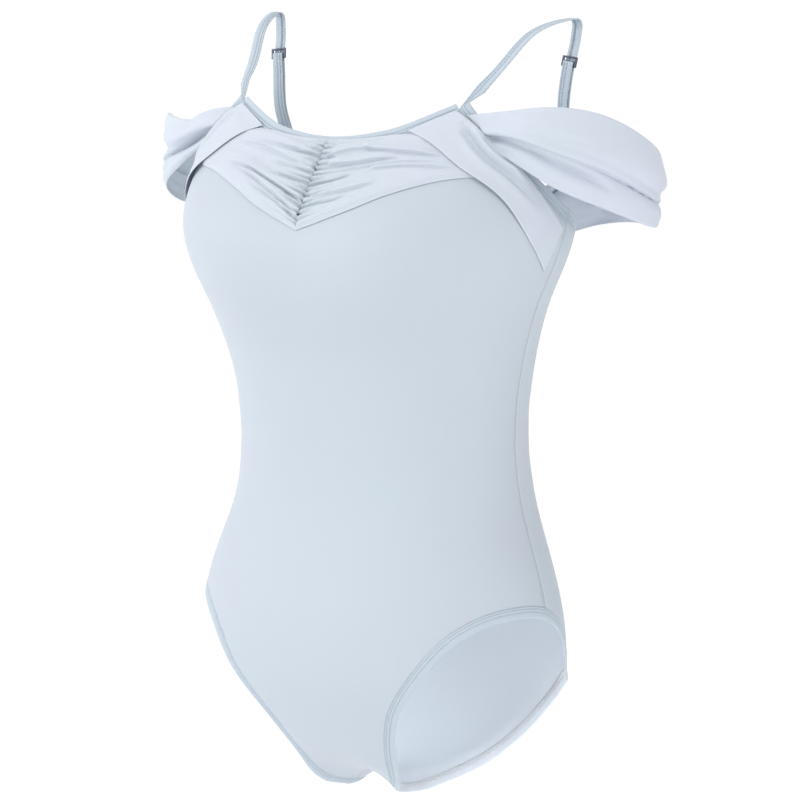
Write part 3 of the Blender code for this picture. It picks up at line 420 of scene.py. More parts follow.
class Nodes:
    """A short way to write a node tree."""

    def __init__(self, name):
        self.material = bpy.data.materials.new(name)
        self.material.use_nodes = True
        self.tree = self.material.node_tree
        self.shader = self.tree.nodes["Principled BSDF"]
        self.output = self.tree.nodes["Material Output"]
        self.place = self.add("ShaderNodeTexCoord").outputs["Object"]

    def add(self, kind, **values):
        made = self.tree.nodes.new(kind)
        for key, value in values.items():
            if key in made.inputs:
                made.inputs[key].default_value = value
            else:
                setattr(made, key, value)
        return made

    def link(self, source, target):
        self.tree.links.new(source, target)

    def flat(self):
        """Places in the flat cloth."""
        return self.add("ShaderNodeUVMap", uv_map="cloth").outputs["UV"]

    def math(self, operation, first, second=None):
        made = self.add("ShaderNodeMath", operation=operation)
        for socket, value in zip(made.inputs, (first, second)):
            if isinstance(value, (int, float)):
                socket.default_value = value
            elif value is not None:
                self.link(value, socket)
        return made.outputs[0]

    def noise(self, scale, detail):
        made = self.add("ShaderNodeTexNoise", Scale=scale, Detail=detail)
        self.link(self.place, made.inputs["Vector"])
        return made.outputs["Fac"]

    def blend(self, share, first, second):
        made = self.add("ShaderNodeMix", data_type="RGBA")
        self.link(share, made.inputs["Factor"])
        for socket, colour in ((made.inputs[6], first), (made.inputs[7], second)):
            if isinstance(colour, tuple):
                socket.default_value = (*colour, 1.0)
            else:
                self.link(colour, socket)
        return made.outputs[2]

    def tinted(self, values, colour, tint):
        """The colour with a slow change to the tint over the body."""
        slow = self.noise(values["slow_scale"], values["slow_detail"])
        off = self.math("SUBTRACT", slow, values["tint_from"])
        return self.blend(self.math("MULTIPLY", off, values["tint_gain"]), colour, tint)

    def bump(self, height, distance):
        made = self.add("ShaderNodeBump", Distance=distance, Strength=1.0)
        self.link(height, made.inputs["Height"])
        self.link(made.outputs["Normal"], self.shader.inputs["Normal"])

    def finish(self, values):
        """Sets the shader's values, and links those that come from another node."""
        for key, value in values.items():
            if isinstance(value, (float, tuple)):
                self.shader.inputs[key].default_value = value
            else:
                self.link(value, self.shader.inputs[key])
        return self.material


def knit(name, colour, tint, roughness, wale, relief):
    """A knitted cloth: fine wales and courses, and a slow change of tint over the body."""
    n = Nodes(name)
    split = n.add("ShaderNodeSeparateXYZ")
    n.link(n.flat(), split.inputs[0])
    u, v = split.outputs[0], split.outputs[1]
    wales = n.math("ABSOLUTE", n.math("SINE", n.math("MULTIPLY", u, math.pi / wale)))
    courses = n.math("SINE", n.math("MULTIPLY", v, 2 * math.pi / (wale * KNIT["course"])))
    fuzz = n.noise(KNIT["fuzz_scale"], KNIT["fuzz_detail"])
    wales = n.math("MULTIPLY", wales, KNIT["wale_height"])
    height = n.math("ADD", wales, n.math("MULTIPLY", courses, KNIT["course_height"]))
    n.bump(n.math("ADD", height, fuzz), relief)
    even_colour = n.tinted(KNIT, colour, tint)
    wear_share = n.math("MULTIPLY", fuzz, KNIT["worn"])
    worn = n.blend(wear_share, even_colour, shade(colour, KNIT["dark"]))
    wrong_side = n.add("ShaderNodeAttribute", attribute_name=INSIDE)
    return n.finish(
        {
            "Base Color": n.blend(wrong_side.outputs["Fac"], worn, INSIDE_COLOUR),
            "Roughness": roughness,
            "Sheen Weight": KNIT["sheen"],
            "Sheen Roughness": KNIT["sheen_roughness"],
            "Specular IOR Level": KNIT["specular"],
        }
    )


def net_cloth(name, colour, tint, through):
    """A fine stretch mesh in layers: small cells, cloudy where the layers lie differently, and
    some light through it."""
    n = Nodes(name)
    cells = n.add("ShaderNodeTexVoronoi", Scale=NET["cells"], Randomness=NET["uneven"])
    n.link(n.flat(), cells.inputs["Vector"])
    cell = cells.outputs["Distance"]
    cloud = n.noise(NET["cloud_scale"], NET["cloud_detail"])
    n.bump(n.math("ADD", n.math("MULTIPLY", cell, -1.0), cloud), NET["relief"])
    cloudy = n.tinted(NET, colour, tint)
    share = n.math("MULTIPLY", n.math("SUBTRACT", NET["hole_from"], cell), NET["hole_gain"])
    worked = n.blend(share, cloudy, shade(colour, NET["hole"]))
    light = n.add("ShaderNodeBsdfTranslucent")
    n.link(worked, light.inputs["Color"])
    mixed = n.add("ShaderNodeMixShader")
    mixed.inputs[0].default_value = through
    n.link(n.shader.outputs[0], mixed.inputs[1])
    n.link(light.outputs[0], mixed.inputs[2])
    n.link(mixed.outputs[0], n.output.inputs["Surface"])
    return n.finish(
        {
            "Base Color": worked,
            "Roughness": NET["roughness"],
            "Sheen Weight": NET["sheen"],
            "Specular IOR Level": NET["specular"],
        }
    )


def thread_finish(name, colour):
    n = Nodes(name)
    twist = n.noise(YARN["twist_scale"], YARN["twist_detail"])
    n.bump(twist, YARN["relief"])
    twisted = n.blend(twist, colour, shade(colour, YARN["dark"]))
    return n.finish({"Base Color": twisted, "Roughness": YARN["roughness"]})


def metal_finish(name, colour):
    """Coated metal, a little worn and uneven."""
    n = Nodes(name)
    wear_level = n.noise(COATING["wear_scale"], COATING["wear_detail"])
    n.bump(wear_level, COATING["relief"])
    uneven = n.math("MULTIPLY", wear_level, COATING["rough_gain"])
    return n.finish(
        {
            "Base Color": n.blend(wear_level, colour, shade(colour, COATING["bright"])),
            "Roughness": n.math("ADD", uneven, COATING["rough"]),
            "Metallic": COATING["metallic"],
        }
    )


JERSEY = knit("fine_jersey", JERSEY_COLOUR, JERSEY_TINT, 0.52, 0.9, 0.00010)
BINDING = knit("folded_binding", BINDING_COLOUR, BINDING_TINT, 0.58, 1.1, 0.00012)
MESH = net_cloth("stretch_mesh", MESH_COLOUR, MESH_TINT, 0.18)
THREAD = thread_finish("matching_thread", THREAD_COLOUR)
HEM_THREAD = thread_finish("pale_thread", HEM_THREAD_COLOUR)
LOOPER = thread_finish("white_thread", WHITE_THREAD)
METAL = metal_finish("dark_metal", METAL_COLOUR)


def piece(name, points, faces, look, chart=None, mirrored=False, inside=None):
    """A closed mesh that rides on the model. chart gives each point's place in the flat cloth,
    and inside says which points are on its face towards the wearer."""
    points = np.array(points, float)
    if mirrored:
        points[:, 0] *= -1
    mesh = bpy.data.meshes.new(name)
    mesh.from_pydata(points.tolist(), [], faces)
    shape = bmesh.new()
    shape.from_mesh(mesh)
    bmesh.ops.recalc_face_normals(shape, faces=shape.faces)
    shape.to_mesh(mesh)
    shape.free()
    mesh.polygons.foreach_set("use_smooth", [True] * len(mesh.polygons))
    if chart is not None:
        layer = mesh.uv_layers.new(name="cloth")
        corners = np.zeros(len(mesh.loops), int)
        mesh.loops.foreach_get("vertex_index", corners)
        layer.data.foreach_set("uv", (np.asarray(chart)[corners] * MILLIMETRES).ravel())
    if inside is not None:
        mark = mesh.attributes.new(INSIDE, "FLOAT", "POINT")
        mark.data.foreach_set("value", np.asarray(inside, float).ravel())
    mesh.materials.append(look)
    made = bpy.data.objects.new(name, mesh)
    bpy.context.scene.collection.objects.link(made)
    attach(made, "root")
    return made


def flat_chart(net):
    """Places in the flat cloth for a net of points: how far along its row and its column."""
    across = np.linalg.norm(np.diff(net, axis=1), axis=-1)
    down = np.linalg.norm(np.diff(net, axis=0), axis=-1)
    u = np.concatenate([np.zeros((len(net), 1)), np.cumsum(across, axis=1)], 1)
    v = np.concatenate([np.zeros((1, net.shape[1])), np.cumsum(down, axis=0)], 0)
    return np.stack([u - u[:, u.shape[1] // 2, None], v], -1)


def grid_faces(rows, columns, offset=0):
    i, k = np.meshgrid(np.arange(rows - 1), np.arange(columns - 1), indexing="ij")
    first = (i * columns + k).ravel() + offset
    return np.stack([first, first + 1, first + columns + 1, first + columns], -1).tolist()


def border(rows, columns):
    """Points round a net, as (row, column)."""
    bottom = [(0, k) for k in range(columns - 1)]
    right = [(i, columns - 1) for i in range(rows - 1)]
    top = [(rows - 1, k) for k in range(columns - 1, 0, -1)]
    left = [(i, 0) for i in range(rows - 1, 0, -1)]
    return np.array(bottom + right + top + left)


def shell(name, outer, inner, look, rim, mirrored=False):
    """A closed cloth between two nets of points, with rims that stand out by rim walls."""
    rows, columns = outer.shape[:2]
    size = rows * columns
    ring = border(rows, columns)
    i, k = ring[:, 0], ring[:, 1]
    inside = outer[np.clip(i, 1, rows - 2), np.clip(k, 1, columns - 2)]
    away = unit(outer[i, k] - inside)
    wall = np.linalg.norm(outer[i, k] - inner[i, k], axis=-1, keepdims=True)
    middle = (outer[i, k] + inner[i, k]) / 2 + away * wall * rim
    points = np.concatenate([outer.reshape(-1, 3), inner.reshape(-1, 3), middle])
    flat = flat_chart(outer)
    chart = np.concatenate([flat.reshape(-1, 2), flat.reshape(-1, 2), flat[i, k]])
    faces = grid_faces(rows, columns)
    faces += [face[::-1] for face in grid_faces(rows, columns, size)]
    on_outer = i * columns + k
    count = len(ring)
    for a in range(count):
        b = (a + 1) % count
        first, second, mid, next_mid = on_outer[a], on_outer[b], 2 * size + a, 2 * size + b
        faces.append([int(second), int(first), mid, next_mid])
        faces.append([next_mid, mid, int(first) + size, int(second) + size])
    inside = np.repeat([0.0, 1.0, 0.0], [size, size, count])
    return piece(name, points, faces, look, chart, mirrored, inside)


def band(name, left, right, normals, wall, mirrored=False, closed=False, wrong=0.0):
    """A folded strip between two lines of points, on the inner face. Its own inner face shows
    as much of the wrong side of the cloth as wrong says."""
    heights = binding_heights(wall)
    rows = len(left)
    share = np.linspace(0, 1, len(heights))
    across = np.concatenate([share, np.linspace(1, 0, UNDER_STEPS)])
    lift = np.concatenate([heights, binding_floor(wall)])
    ring = len(across)
    points = left[:, None] * (1 - across[:, None]) + right[:, None] * across[:, None]
    points = points + normals[:, None] * lift[:, None]
    along = measure(left)
    width = np.linalg.norm(right[0] - left[0])
    chart = np.stack(np.broadcast_arrays(across[None] * width, along[:, None]), -1)
    faces = []
    for i in range(rows if closed else rows - 1):
        j = (i + 1) % rows
        for k in range(ring):
            m = (k + 1) % ring
            faces.append([i * ring + k, i * ring + m, j * ring + m, j * ring + k])
    if not closed:
        faces.append(list(range(ring)))
        faces.append([(rows - 1) * ring + k for k in range(ring - 1, -1, -1)])
    inside = np.tile(np.repeat([0.0, wrong], [len(heights), UNDER_STEPS]), rows)
    return piece(
        name, points.reshape(-1, 3), faces, BINDING, chart.reshape(-1, 2), mirrored, inside
    )


THREAD_SHAPE = dict(full_at=(0.18, 0.82), rise=0.35)  # shares of its length and height


def threads(name, starts, ends, normals, width, height, look, mirrored=False):
    """Stitches, each a small closed spindle of thread from a start to an end."""
    run = ends - starts
    ahead = unit(run)
    side = unit(np.cross(normals, ahead))
    up = np.cross(ahead, side)
    count = len(starts)
    rings = []
    for place in THREAD_SHAPE["full_at"]:
        centre = starts + run * place + up * height * THREAD_SHAPE["rise"]
        rings += [centre + side * width / 2, centre + up * height / 2]
        rings += [centre - side * width / 2, centre - up * height / 2]
    points = np.stack([starts] + rings + [ends], 1)
    one = [[0, 1 + (k + 1) % 4, 1 + k] for k in range(4)]
    one += [[1 + k, 1 + (k + 1) % 4, 5 + (k + 1) % 4, 5 + k] for k in range(4)]
    one += [[9, 5 + k, 5 + (k + 1) % 4] for k in range(4)]
    faces = [[10 * n + k for k in face] for n in range(count) for face in one]
    return piece(name, points.reshape(-1, 3), faces, look, None, mirrored)


def at_lengths(line, along, wanted):
    return np.stack([np.interp(wanted, along, line[:, k]) for k in range(line.shape[1])], -1)


STITCH = dict(start=0.0006, length=0.0025, gap=0.0004, width=0.00042, height=0.00034)
COVER = dict(pitch=0.0013, width=0.00042, height=0.00034)
LEG_COVER = dict(pitch=0.0022, width=0.00068, height=0.00055)


def running_stitch(line, normals):
    """Starts, ends and normals of the stitches along a line."""
    along = measure(line)
    last_start = along[-1] - STITCH["length"]
    first = np.arange(STITCH["start"], last_start, STITCH["length"] + STITCH["gap"])
    starts = at_lengths(line, along, first)
    ends = at_lengths(line, along, first + STITCH["length"])
    return starts, ends, unit(at_lengths(normals, along, first))


def zigzag_stitch(left, right, normals, pitch):
    """The same for the threads that run to and fro between two lines."""
    along = measure(left)
    count = int(along[-1] / pitch)
    wanted = np.linspace(0, along[-1], count)
    a = at_lengths(left, along, wanted)
    b = at_lengths(right, along, wanted)
    n = unit(at_lengths(normals, along, wanted))
    starts = np.concatenate([a[:-1], b[:-1]])
    ends = np.concatenate([b[:-1], a[1:]])
    return starts, ends, np.concatenate([n[:-1], n[:-1]])


def joined_rows(*groups):
    return [np.concatenate(rows) for rows in zip(*groups)]


# Bindings: a folded strip with two rows of stitches. Shares across the strip run from the
# cloth to the finished edge.
STITCH_LINES = (0.20, 0.48)
GROOVE_DEPTH = 0.00060
GROOVE_WIDTH = 0.065
COVER_SUNK = 0.00005  # how far the cover stitch lies under the strip
BAND_STEPS = 33
UNDER_STEPS = 9
ROUNDING = dict(outer=0.55, outer_power=7, inner=0.18, inner_power=6)


def binding_heights(wall):
    """The outer face of a folded binding: full, rounded at both edges, and pulled in along its
    rows of stitches."""
    share = np.linspace(0, 1, BAND_STEPS)
    edge = np.abs(2 * share - 1)
    heights = wall * (1 - ROUNDING["outer"] * edge ** ROUNDING["outer_power"])
    for place in STITCH_LINES:
        heights = heights - GROOVE_DEPTH * np.exp(-(((share - place) / GROOVE_WIDTH) ** 2))
    return heights


def binding_floor(wall):
    """Its inner face, which rises a little towards both edges."""
    edge = np.abs(2 * np.linspace(1, 0, UNDER_STEPS) - 1)
    return wall * ROUNDING["inner"] * edge ** ROUNDING["inner_power"]


def stitched_band(
    name, left, right, normals, wall, mirrored=False, closed=False, inside=True, thread=THREAD
):
    """A binding and its threads. left is its cloth side and right its finished edge."""
    wrong = 0.0 if inside else 1.0
    made = band(name, left, right, normals, wall, mirrored, closed, wrong)
    rows = []
    for place in STITCH_LINES:
        line = left + (right - left) * place + normals * (wall - GROOVE_DEPTH)
        rows.append(running_stitch(line, normals))
    sewn = threads(
        name + "_stitches", *joined_rows(*rows), STITCH["width"], STITCH["height"], thread, mirrored
    )
    pieces = [sewn]
    if inside:
        sunk = normals * COVER_SUNK
        a, b = [left + (right - left) * place - sunk for place in STITCH_LINES]
        cover = zigzag_stitch(a, b, -normals, COVER["pitch"])
        pieces.append(
            threads(
                name + "_cover_stitches", *cover, COVER["width"], COVER["height"], THREAD, mirrored
            )
        )
    return made, pieces


def on_body(net):
    return wear(net), body_normal(net[..., 0], net[..., 1])


def stands_for(made):
    """The cloth takes the place of the solid that it is named after."""
    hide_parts(made.name.removesuffix("_cloth"))
    return made


# Body panels, in the same rows as the solids but finer
LEG_ROWS = 60
SEAM_ROWS = 76
ARM_ROWS = 34
HALF_COLUMNS = 56
CROTCH = UNDER + HALF_GAP
RELAX = dict(steps=80, first_row=12)  # evens out the front's rows above the crotch

leg_stop, side_low = crossing(leg_inset, FRONT_SIDE)
arm_start, side_high = crossing(arm_inset, FRONT_SIDE)
arm_stop, neck_start = crossing(arm_inset, neck_inset)
back_leg, back_low = crossing(leg_inset, BACK_SIDE)
back_stop, back_high = crossing(back_inset, BACK_SIDE)


def half_panel(side, top, middle):
    side[0, 1] = CROTCH
    top[0, 0] = middle
    share = np.linspace(0, 1, len(top))[:, None]
    bottom = np.array([(middle, CROTCH)]) * (1 - share) + side[0] * share
    return both_sides(panel_net(bottom, side, top), middle)


front_net = half_panel(
    joined(
        pick(leg_inset, places(leg_inset, 0, leg_stop, LEG_ROWS)),
        pick(FRONT_SIDE, places(FRONT_SIDE, side_low, side_high, SEAM_ROWS)),
        pick(arm_inset, places(arm_inset, arm_start, arm_stop, ARM_ROWS)),
    ),
    pick(neck_inset, places(neck_inset, len(neck_inset) - 1, neck_start, HALF_COLUMNS)),
    0.0,
)
back_net = half_panel(
    joined(
        pick(leg_inset, places(leg_inset, len(leg_inset) - 1, back_leg, LEG_ROWS)),
        pick(BACK_SIDE, places(BACK_SIDE, back_low, back_high, SEAM_ROWS)),
    ),
    pick(back_inset, places(back_inset, 0, back_stop, HALF_COLUMNS)),
    math.pi,
)

for _ in range(RELAX["steps"]):
    eased = front_net[RELAX["first_row"] :]
    beside = eased[1:-1, :-2] + eased[1:-1, 2:]
    eased[1:-1, 1:-1] = (eased[:-2, 1:-1] + eased[2:, 1:-1] + beside) / 4

# Soft lines where the stretched jersey is drawn: (x, z) of their two ends on the cloth,
# how deep they are and how wide, in metres. They are alike on both sides of the garment.
DRAWN_FRONT = rows_of(
    "start end depth width",
    ((0.150, -0.215), (0.092, -0.262), 0.0007, 0.010),
    ((0.128, -0.300), (0.070, -0.322), 0.0005, 0.009),
    ((0.126, -0.345), (0.060, -0.352), 0.0005, 0.010),
    ((0.150, -0.470), (0.080, -0.520), 0.0006, 0.012),
    ((0.110, -0.535), (0.050, -0.600), 0.0005, 0.010),
    ((0.060, -0.230), (0.015, -0.290), 0.0004, 0.016),
)
DRAWN_BACK = rows_of(
    "start end depth width",
    ((0.148, -0.215), (0.075, -0.240), 0.0006, 0.011),
    ((0.125, -0.310), (0.040, -0.330), 0.0008, 0.010),
    ((0.124, -0.350), (0.030, -0.362), 0.0007, 0.010),
    ((0.140, -0.500), (0.070, -0.560), 0.0006, 0.013),
    ((0.080, -0.585), (0.030, -0.615), 0.0005, 0.010),
)
PUCKER = dict(depth=0.00016, pitch=0.0078, reach=0.009, sway=1.3, sway_pitch=0.031)
DRAWN_TAPER = 0.42  # half of the share of a drawn line at its full depth
PANEL_INNER = 0.25  # where a panel's inner face lies, as a share of its wall
PANEL_RIM = 0.25


def drawn_lines(points, table):
    """How far the jersey is drawn in at each point, from lines on its front or back view."""
    x, z = np.abs(points[..., 0]), points[..., 2]
    depth = np.zeros(x.shape)
    for row in table:
        start, end = np.array(row["start"]), np.array(row["end"])
        run = end - start
        length = np.linalg.norm(run)
        along = ((x - start[0]) * run[0] + (z - start[1]) * run[1]) / length**2
        off = ((x - start[0]) * run[1] - (z - start[1]) * run[0]) / length
        taper = np.exp(-(((along - 0.5) / DRAWN_TAPER) ** 4))
        depth = depth + row["depth"] * taper * np.exp(-((off / row["width"]) ** 2))
    return depth


def pucker(points):
    """Small ripples along the sides of a panel where the binding gathers it a little."""
    across, along = np.moveaxis(flat_chart(points), -1, 0)
    near = np.minimum(across - across[:, :1], across[:, -1:] - across)
    sway = PUCKER["sway"] * np.sin(along / PUCKER["sway_pitch"])
    wave = np.sin(2 * math.pi * along / PUCKER["pitch"] + sway)
    return PUCKER["depth"] * wave * np.exp(-near / PUCKER["reach"])


def panel(name, net, table):
    inner, normals = on_body(net)
    relief = (pucker(inner) - drawn_lines(inner, table))[..., None]
    outer = inner + normals * (WALL + relief)
    inner = inner + normals * (relief + WALL * PANEL_INNER)
    return stands_for(shell(name, outer, inner, JERSEY, PANEL_RIM))


front = panel("front_panel_cloth", front_net, DRAWN_FRONT)
back = panel("back_panel_cloth", back_net, DRAWN_BACK)

# Bindings of the neckline
NECK_STEPS = 90
arm_inner = shift(arm_edge, BINDING_WIDTH)
neck_inner = shift(neck_edge, BINDING_WIDTH)
back_inner = shift(back_edge, BINDING_WIDTH)
leg_inner = shift(leg_edge, BINDING_WIDTH, True)


def full_line(line, start, wall, middle):
    """A line from one side of the body to the other, cut off where it meets wall."""
    stop = crossing(line, wall)[0]
    half = pick(line, places(line, start, stop, NECK_STEPS))
    half[0, 0] = middle
    far = half[:0:-1].copy()
    far[:, 0] = 2 * middle - far[:, 0]
    return np.concatenate([far, half])


def neckline(name, cloth_side, edge, start, wall, middle):
    left_line = full_line(cloth_side, start, wall, middle)
    right_line = full_line(edge, start, wall, middle)
    left, normals = on_body(left_line)
    right, _ = on_body(right_line)
    made, sewn = stitched_band(name + "_cloth", left, right, normals, BINDING_WALL)
    return stands_for(made), sewn


last = len(neck_edge) - 1
front_neck, front_neck_sewn = neckline(
    "front_neckline_binding", neck_inner, neck_edge, last, arm_inset, 0.0
)
back_neck, back_neck_sewn = neckline(
    "back_neckline_binding", back_inner, back_edge, 0, BACK_SIDE, math.pi
)

# Leg hems, and inside them the white cover stitch: where its zigzag and its straight rows
# run, as shares across, and how far it stands off the hem towards the wearer
HEM_STEPS = 260
COVER_LIFT = 0.00014
COVER_AT = (-0.05, 0.54)
COVER_ROWS = (0.06, 0.5, 0.94)


def leg_hem(side):
    def around(line):
        spots = places(line, 0, len(line) - 1, HEM_STEPS)
        points, normals = on_body(pick(line, spots))
        points[0] = (points[0] + points[-1]) / 2
        return points[:-1], normals[:-1]

    mirrored = side == "right"
    left, normals = around(leg_inner)
    right, _ = around(leg_edge)
    made, sewn = stitched_band(
        "leg_hem_%s_cloth" % side, left, right, normals, BINDING_WALL, mirrored, True, False,
        HEM_THREAD,
    )
    inside = [left + (right - left) * share - normals * COVER_LIFT for share in COVER_AT]
    rows = [zigzag_stitch(*inside, -normals, LEG_COVER["pitch"])]
    for place in COVER_ROWS:
        rows.append(running_stitch(inside[0] * (1 - place) + inside[1] * place, -normals))
    cover = threads(
        "leg_cover_stitches_" + side, *joined_rows(*rows), LEG_COVER["width"], LEG_COVER["height"],
        LOOPER, mirrored,
    )
    return stands_for(made), sewn + [cover]


SIDES = ("left", "right")
hems = {side: leg_hem(side) for side in SIDES}

# Ruched bust drapes. A drape has a place along, from the middle seam outwards, and a place
# across, from its top edge down, both from 0 to 1.
DRAPE_TOP = [(0.0, -0.1035), (17.0, -0.1025), (34.0, -0.0980), (45.5, -0.0975)]
DRAPE_BOTTOM = [
    (0.0, -0.1755), (12.0, -0.1655), (23.5, -0.1550), (31.0, -0.1470), (38.7, -0.1400),
    (46.0, -0.1340), (58.0, -0.1285),
]
DRAPE_ROWS = 230
DRAPE_COLUMNS = 130
DRAPE_CROWD = 1.35  # columns crowd towards the seam
DRAPE_WALL = 0.0006
DRAPE_LIFT = dict(seam=0.0056, middle=0.0060, end=0.0037)
DRAPE_EDGE_LIFT = dict(top=0.0026, bottom=0.0022)
DRAPE_EDGE = 0.085  # share of its depth over which it comes down to its edges
SEAM_ROLL = dict(reach=0.0040, depth=0.0026, least=0.65, full_at=0.002)
DRAPE_LENGTH = 0.150
DRAPE_FADE = 0.12  # share of its length over which its creases end
DRAPE_CROWN = 0.8  # power of the sine that crowns a drape
DRAPE_RIM = 0.4
LAYER_GAP = 0.0002  # least gap between cloths that lie on each other
ON_BINDING = 0.2  # share of its depth over which a bust drape can lie on the neckline
CREASE_SHARE = 1.7  # how deep the creases are pressed, against the depths in the table
GATHER_SHARE = 1.5  # the same for the gathers
GATHER_CREST = 0.25  # how far the cloth rises beside a gather, against its depth
GATHER_CREST_AT = 2.0  # how far beside it, in widths
GATHER_RUN = 1.35  # how far the gathers reach, against the reaches in the table
GATHER_POWER = 1.3
FINE_PLEATS = dict(count=31, height=0.00030, fade=0.30, sway=0.9, sway_across=9.0, sway_along=4.0)
DRAPE_HEM = dict(place=0.925, height=0.00045, width=0.0006)

# The gathers in the middle seam, from the top down: place across, how far along each
# reaches, its depth, and how far it drifts across on its way.
GATHERS = {
    "right": [
        (0.045, 0.16, 0.0014, -0.030), (0.100, 0.30, 0.0022, -0.085), (0.160, 0.22, 0.0024, -0.070),
        (0.215, 0.40, 0.0026, -0.020), (0.285, 0.15, 0.0020, -0.015), (0.345, 0.24, 0.0024, -0.035),
        (0.405, 0.20, 0.0026, -0.020), (0.465, 0.26, 0.0022, 0.015), (0.520, 0.30, 0.0026, 0.040),
        (0.580, 0.14, 0.0020, 0.000), (0.640, 0.22, 0.0024, -0.005), (0.700, 0.30, 0.0028, -0.030),
        (0.765, 0.18, 0.0022, -0.030), (0.830, 0.26, 0.0026, -0.070), (0.890, 0.15, 0.0020, -0.040),
        (0.945, 0.20, 0.0018, -0.050),
    ],
    "left": [
        (0.060, 0.12, 0.0014, 0.000), (0.125, 0.20, 0.0020, -0.030), (0.190, 0.16, 0.0018, -0.010),
        (0.245, 0.24, 0.0022, -0.020), (0.310, 0.14, 0.0020, 0.020), (0.365, 0.26, 0.0024, 0.030),
        (0.425, 0.16, 0.0022, 0.010), (0.485, 0.22, 0.0020, 0.020), (0.545, 0.28, 0.0024, -0.010),
        (0.605, 0.14, 0.0018, 0.030), (0.660, 0.24, 0.0024, 0.030), (0.725, 0.16, 0.0020, 0.020),
        (0.785, 0.22, 0.0022, 0.020), (0.850, 0.14, 0.0018, 0.010), (0.910, 0.16, 0.0016, -0.010),
    ],
}
GATHER_WIDTH = dict(seam=0.0009, end=0.0022)

# Long creases: what they are, a start, a place that they pass and an end, each as (along,
# across), and how deep and wide they are in metres. A fold stands on the side above its line,
# a ridge stands up and a valley is pressed in.
DRAPE_CREASES = {
    "right": [
        ("valley", (0.00, 0.16), (0.16, 0.09), (0.42, 0.02), 0.0012, 0.0020),
        ("valley", (0.00, 0.22), (0.32, 0.20), (0.78, 0.29), 0.0013, 0.0022),
        ("ridge", (0.05, 0.26), (0.35, 0.25), (0.70, 0.31), 0.0008, 0.0026),
        ("fold", (0.02, 0.36), (0.33, 0.30), (0.92, 0.33), 0.0010, 0.0018),
        ("valley", (0.02, 0.41), (0.20, 0.40), (0.42, 0.44), 0.0012, 0.0016),
        ("valley", (0.00, 0.52), (0.12, 0.52), (0.34, 0.57), 0.0016, 0.0017),
        ("ridge", (0.05, 0.60), (0.30, 0.58), (0.62, 0.60), 0.0009, 0.0030),
        ("fold", (0.01, 0.705), (0.35, 0.65), (0.76, 0.73), 0.0019, 0.0014),
        ("ridge", (0.14, 0.71), (0.36, 0.695), (0.60, 0.745), 0.0009, 0.0013),
        ("fold", (0.00, 0.85), (0.26, 0.75), (0.66, 0.74), 0.0016, 0.0013),
        ("valley", (0.00, 0.92), (0.20, 0.83), (0.46, 0.83), 0.0012, 0.0018),
        ("valley", (0.45, 0.52), (0.68, 0.50), (0.90, 0.50), 0.0006, 0.0024),
    ],
    "left": [
        ("valley", (0.10, 0.08), (0.40, 0.045), (0.72, 0.09), 0.0010, 0.0016),
        ("fold", (0.06, 0.22), (0.30, 0.16), (0.52, 0.21), 0.0011, 0.0018),
        ("fold", (0.40, 0.17), (0.62, 0.30), (0.97, 0.53), 0.0016, 0.0017),
        ("fold", (0.10, 0.33), (0.36, 0.375), (0.66, 0.45), 0.0018, 0.0013),
        ("valley", (0.08, 0.42), (0.40, 0.47), (0.95, 0.70), 0.0011, 0.0014),
        ("fold", (0.45, 0.52), (0.70, 0.63), (0.99, 0.82), 0.0011, 0.0016),
        ("valley", (0.03, 0.55), (0.14, 0.54), (0.32, 0.54), 0.0014, 0.0015),
        ("fold", (0.03, 0.665), (0.18, 0.70), (0.50, 0.76), 0.0014, 0.0014),
        ("valley", (0.02, 0.76), (0.13, 0.79), (0.32, 0.82), 0.0011, 0.0014),
        ("ridge", (0.20, 0.60), (0.45, 0.63), (0.78, 0.74), 0.0008, 0.0028),
        ("ridge", (0.15, 0.27), (0.40, 0.29), (0.68, 0.38), 0.0008, 0.0030),
    ],
}


def past_line(u, start, past, end):
    """The place across of a smooth line through three places, at each place along."""
    (a, ya), (b, yb), (c, yc) = start, past, end
    t = np.clip(u, a, c)
    return (
        ya * (t - b) * (t - c) / ((a - b) * (a - c))
        + yb * (t - a) * (t - c) / ((b - a) * (b - c))
        + yc * (t - a) * (t - b) / ((c - a) * (c - b))
    )


FOLD = dict(above=3.2, below=0.55, dip=0.5, dip_at=1.0, dip_width=1.1)  # in widths
CREASE_TAPER = dict(seam=0.02, start=0.10, end=0.35)  # a crease from the seam starts at once
JUST_BELOW = -1e-9


def crease_shape(kind, off):
    """The relief of a crease of depth 1 at a distance off its line, counted in widths and
    positive on the side above it."""
    if kind == "valley":
        return -np.exp(-(off**2))
    if kind == "ridge":
        return np.exp(-(off**2))
    above = np.exp(-((off / FOLD["above"]) ** 2))
    drop = np.exp(-((off / FOLD["below"]) ** 2))
    dip = np.exp(-(((off + FOLD["dip_at"]) / FOLD["dip_width"]) ** 2))
    return np.where(off > 0, above, drop - FOLD["dip"] * (1 - drop) * dip)


def crease_relief(u, v, depth_across, table):
    """Sum of the creases in a table, over places along and across. depth_across turns a
    place across into metres."""
    height = np.zeros(u.shape)
    for kind, start, past, end, depth, width in table:
        line = past_line(u, start, past, end)
        off = (line - v) * depth_across / width
        t = (u - start[0]) / (end[0] - start[0])
        opens = t > JUST_BELOW
        if start[0] > CREASE_TAPER["seam"]:
            opens = np.clip(t / CREASE_TAPER["start"], 0, 1)
        taper = opens * np.clip((1 - t) / CREASE_TAPER["end"], 0, 1)
        taper = taper * (2 - taper)
        height = height + depth * taper * crease_shape(kind, off)
    return height


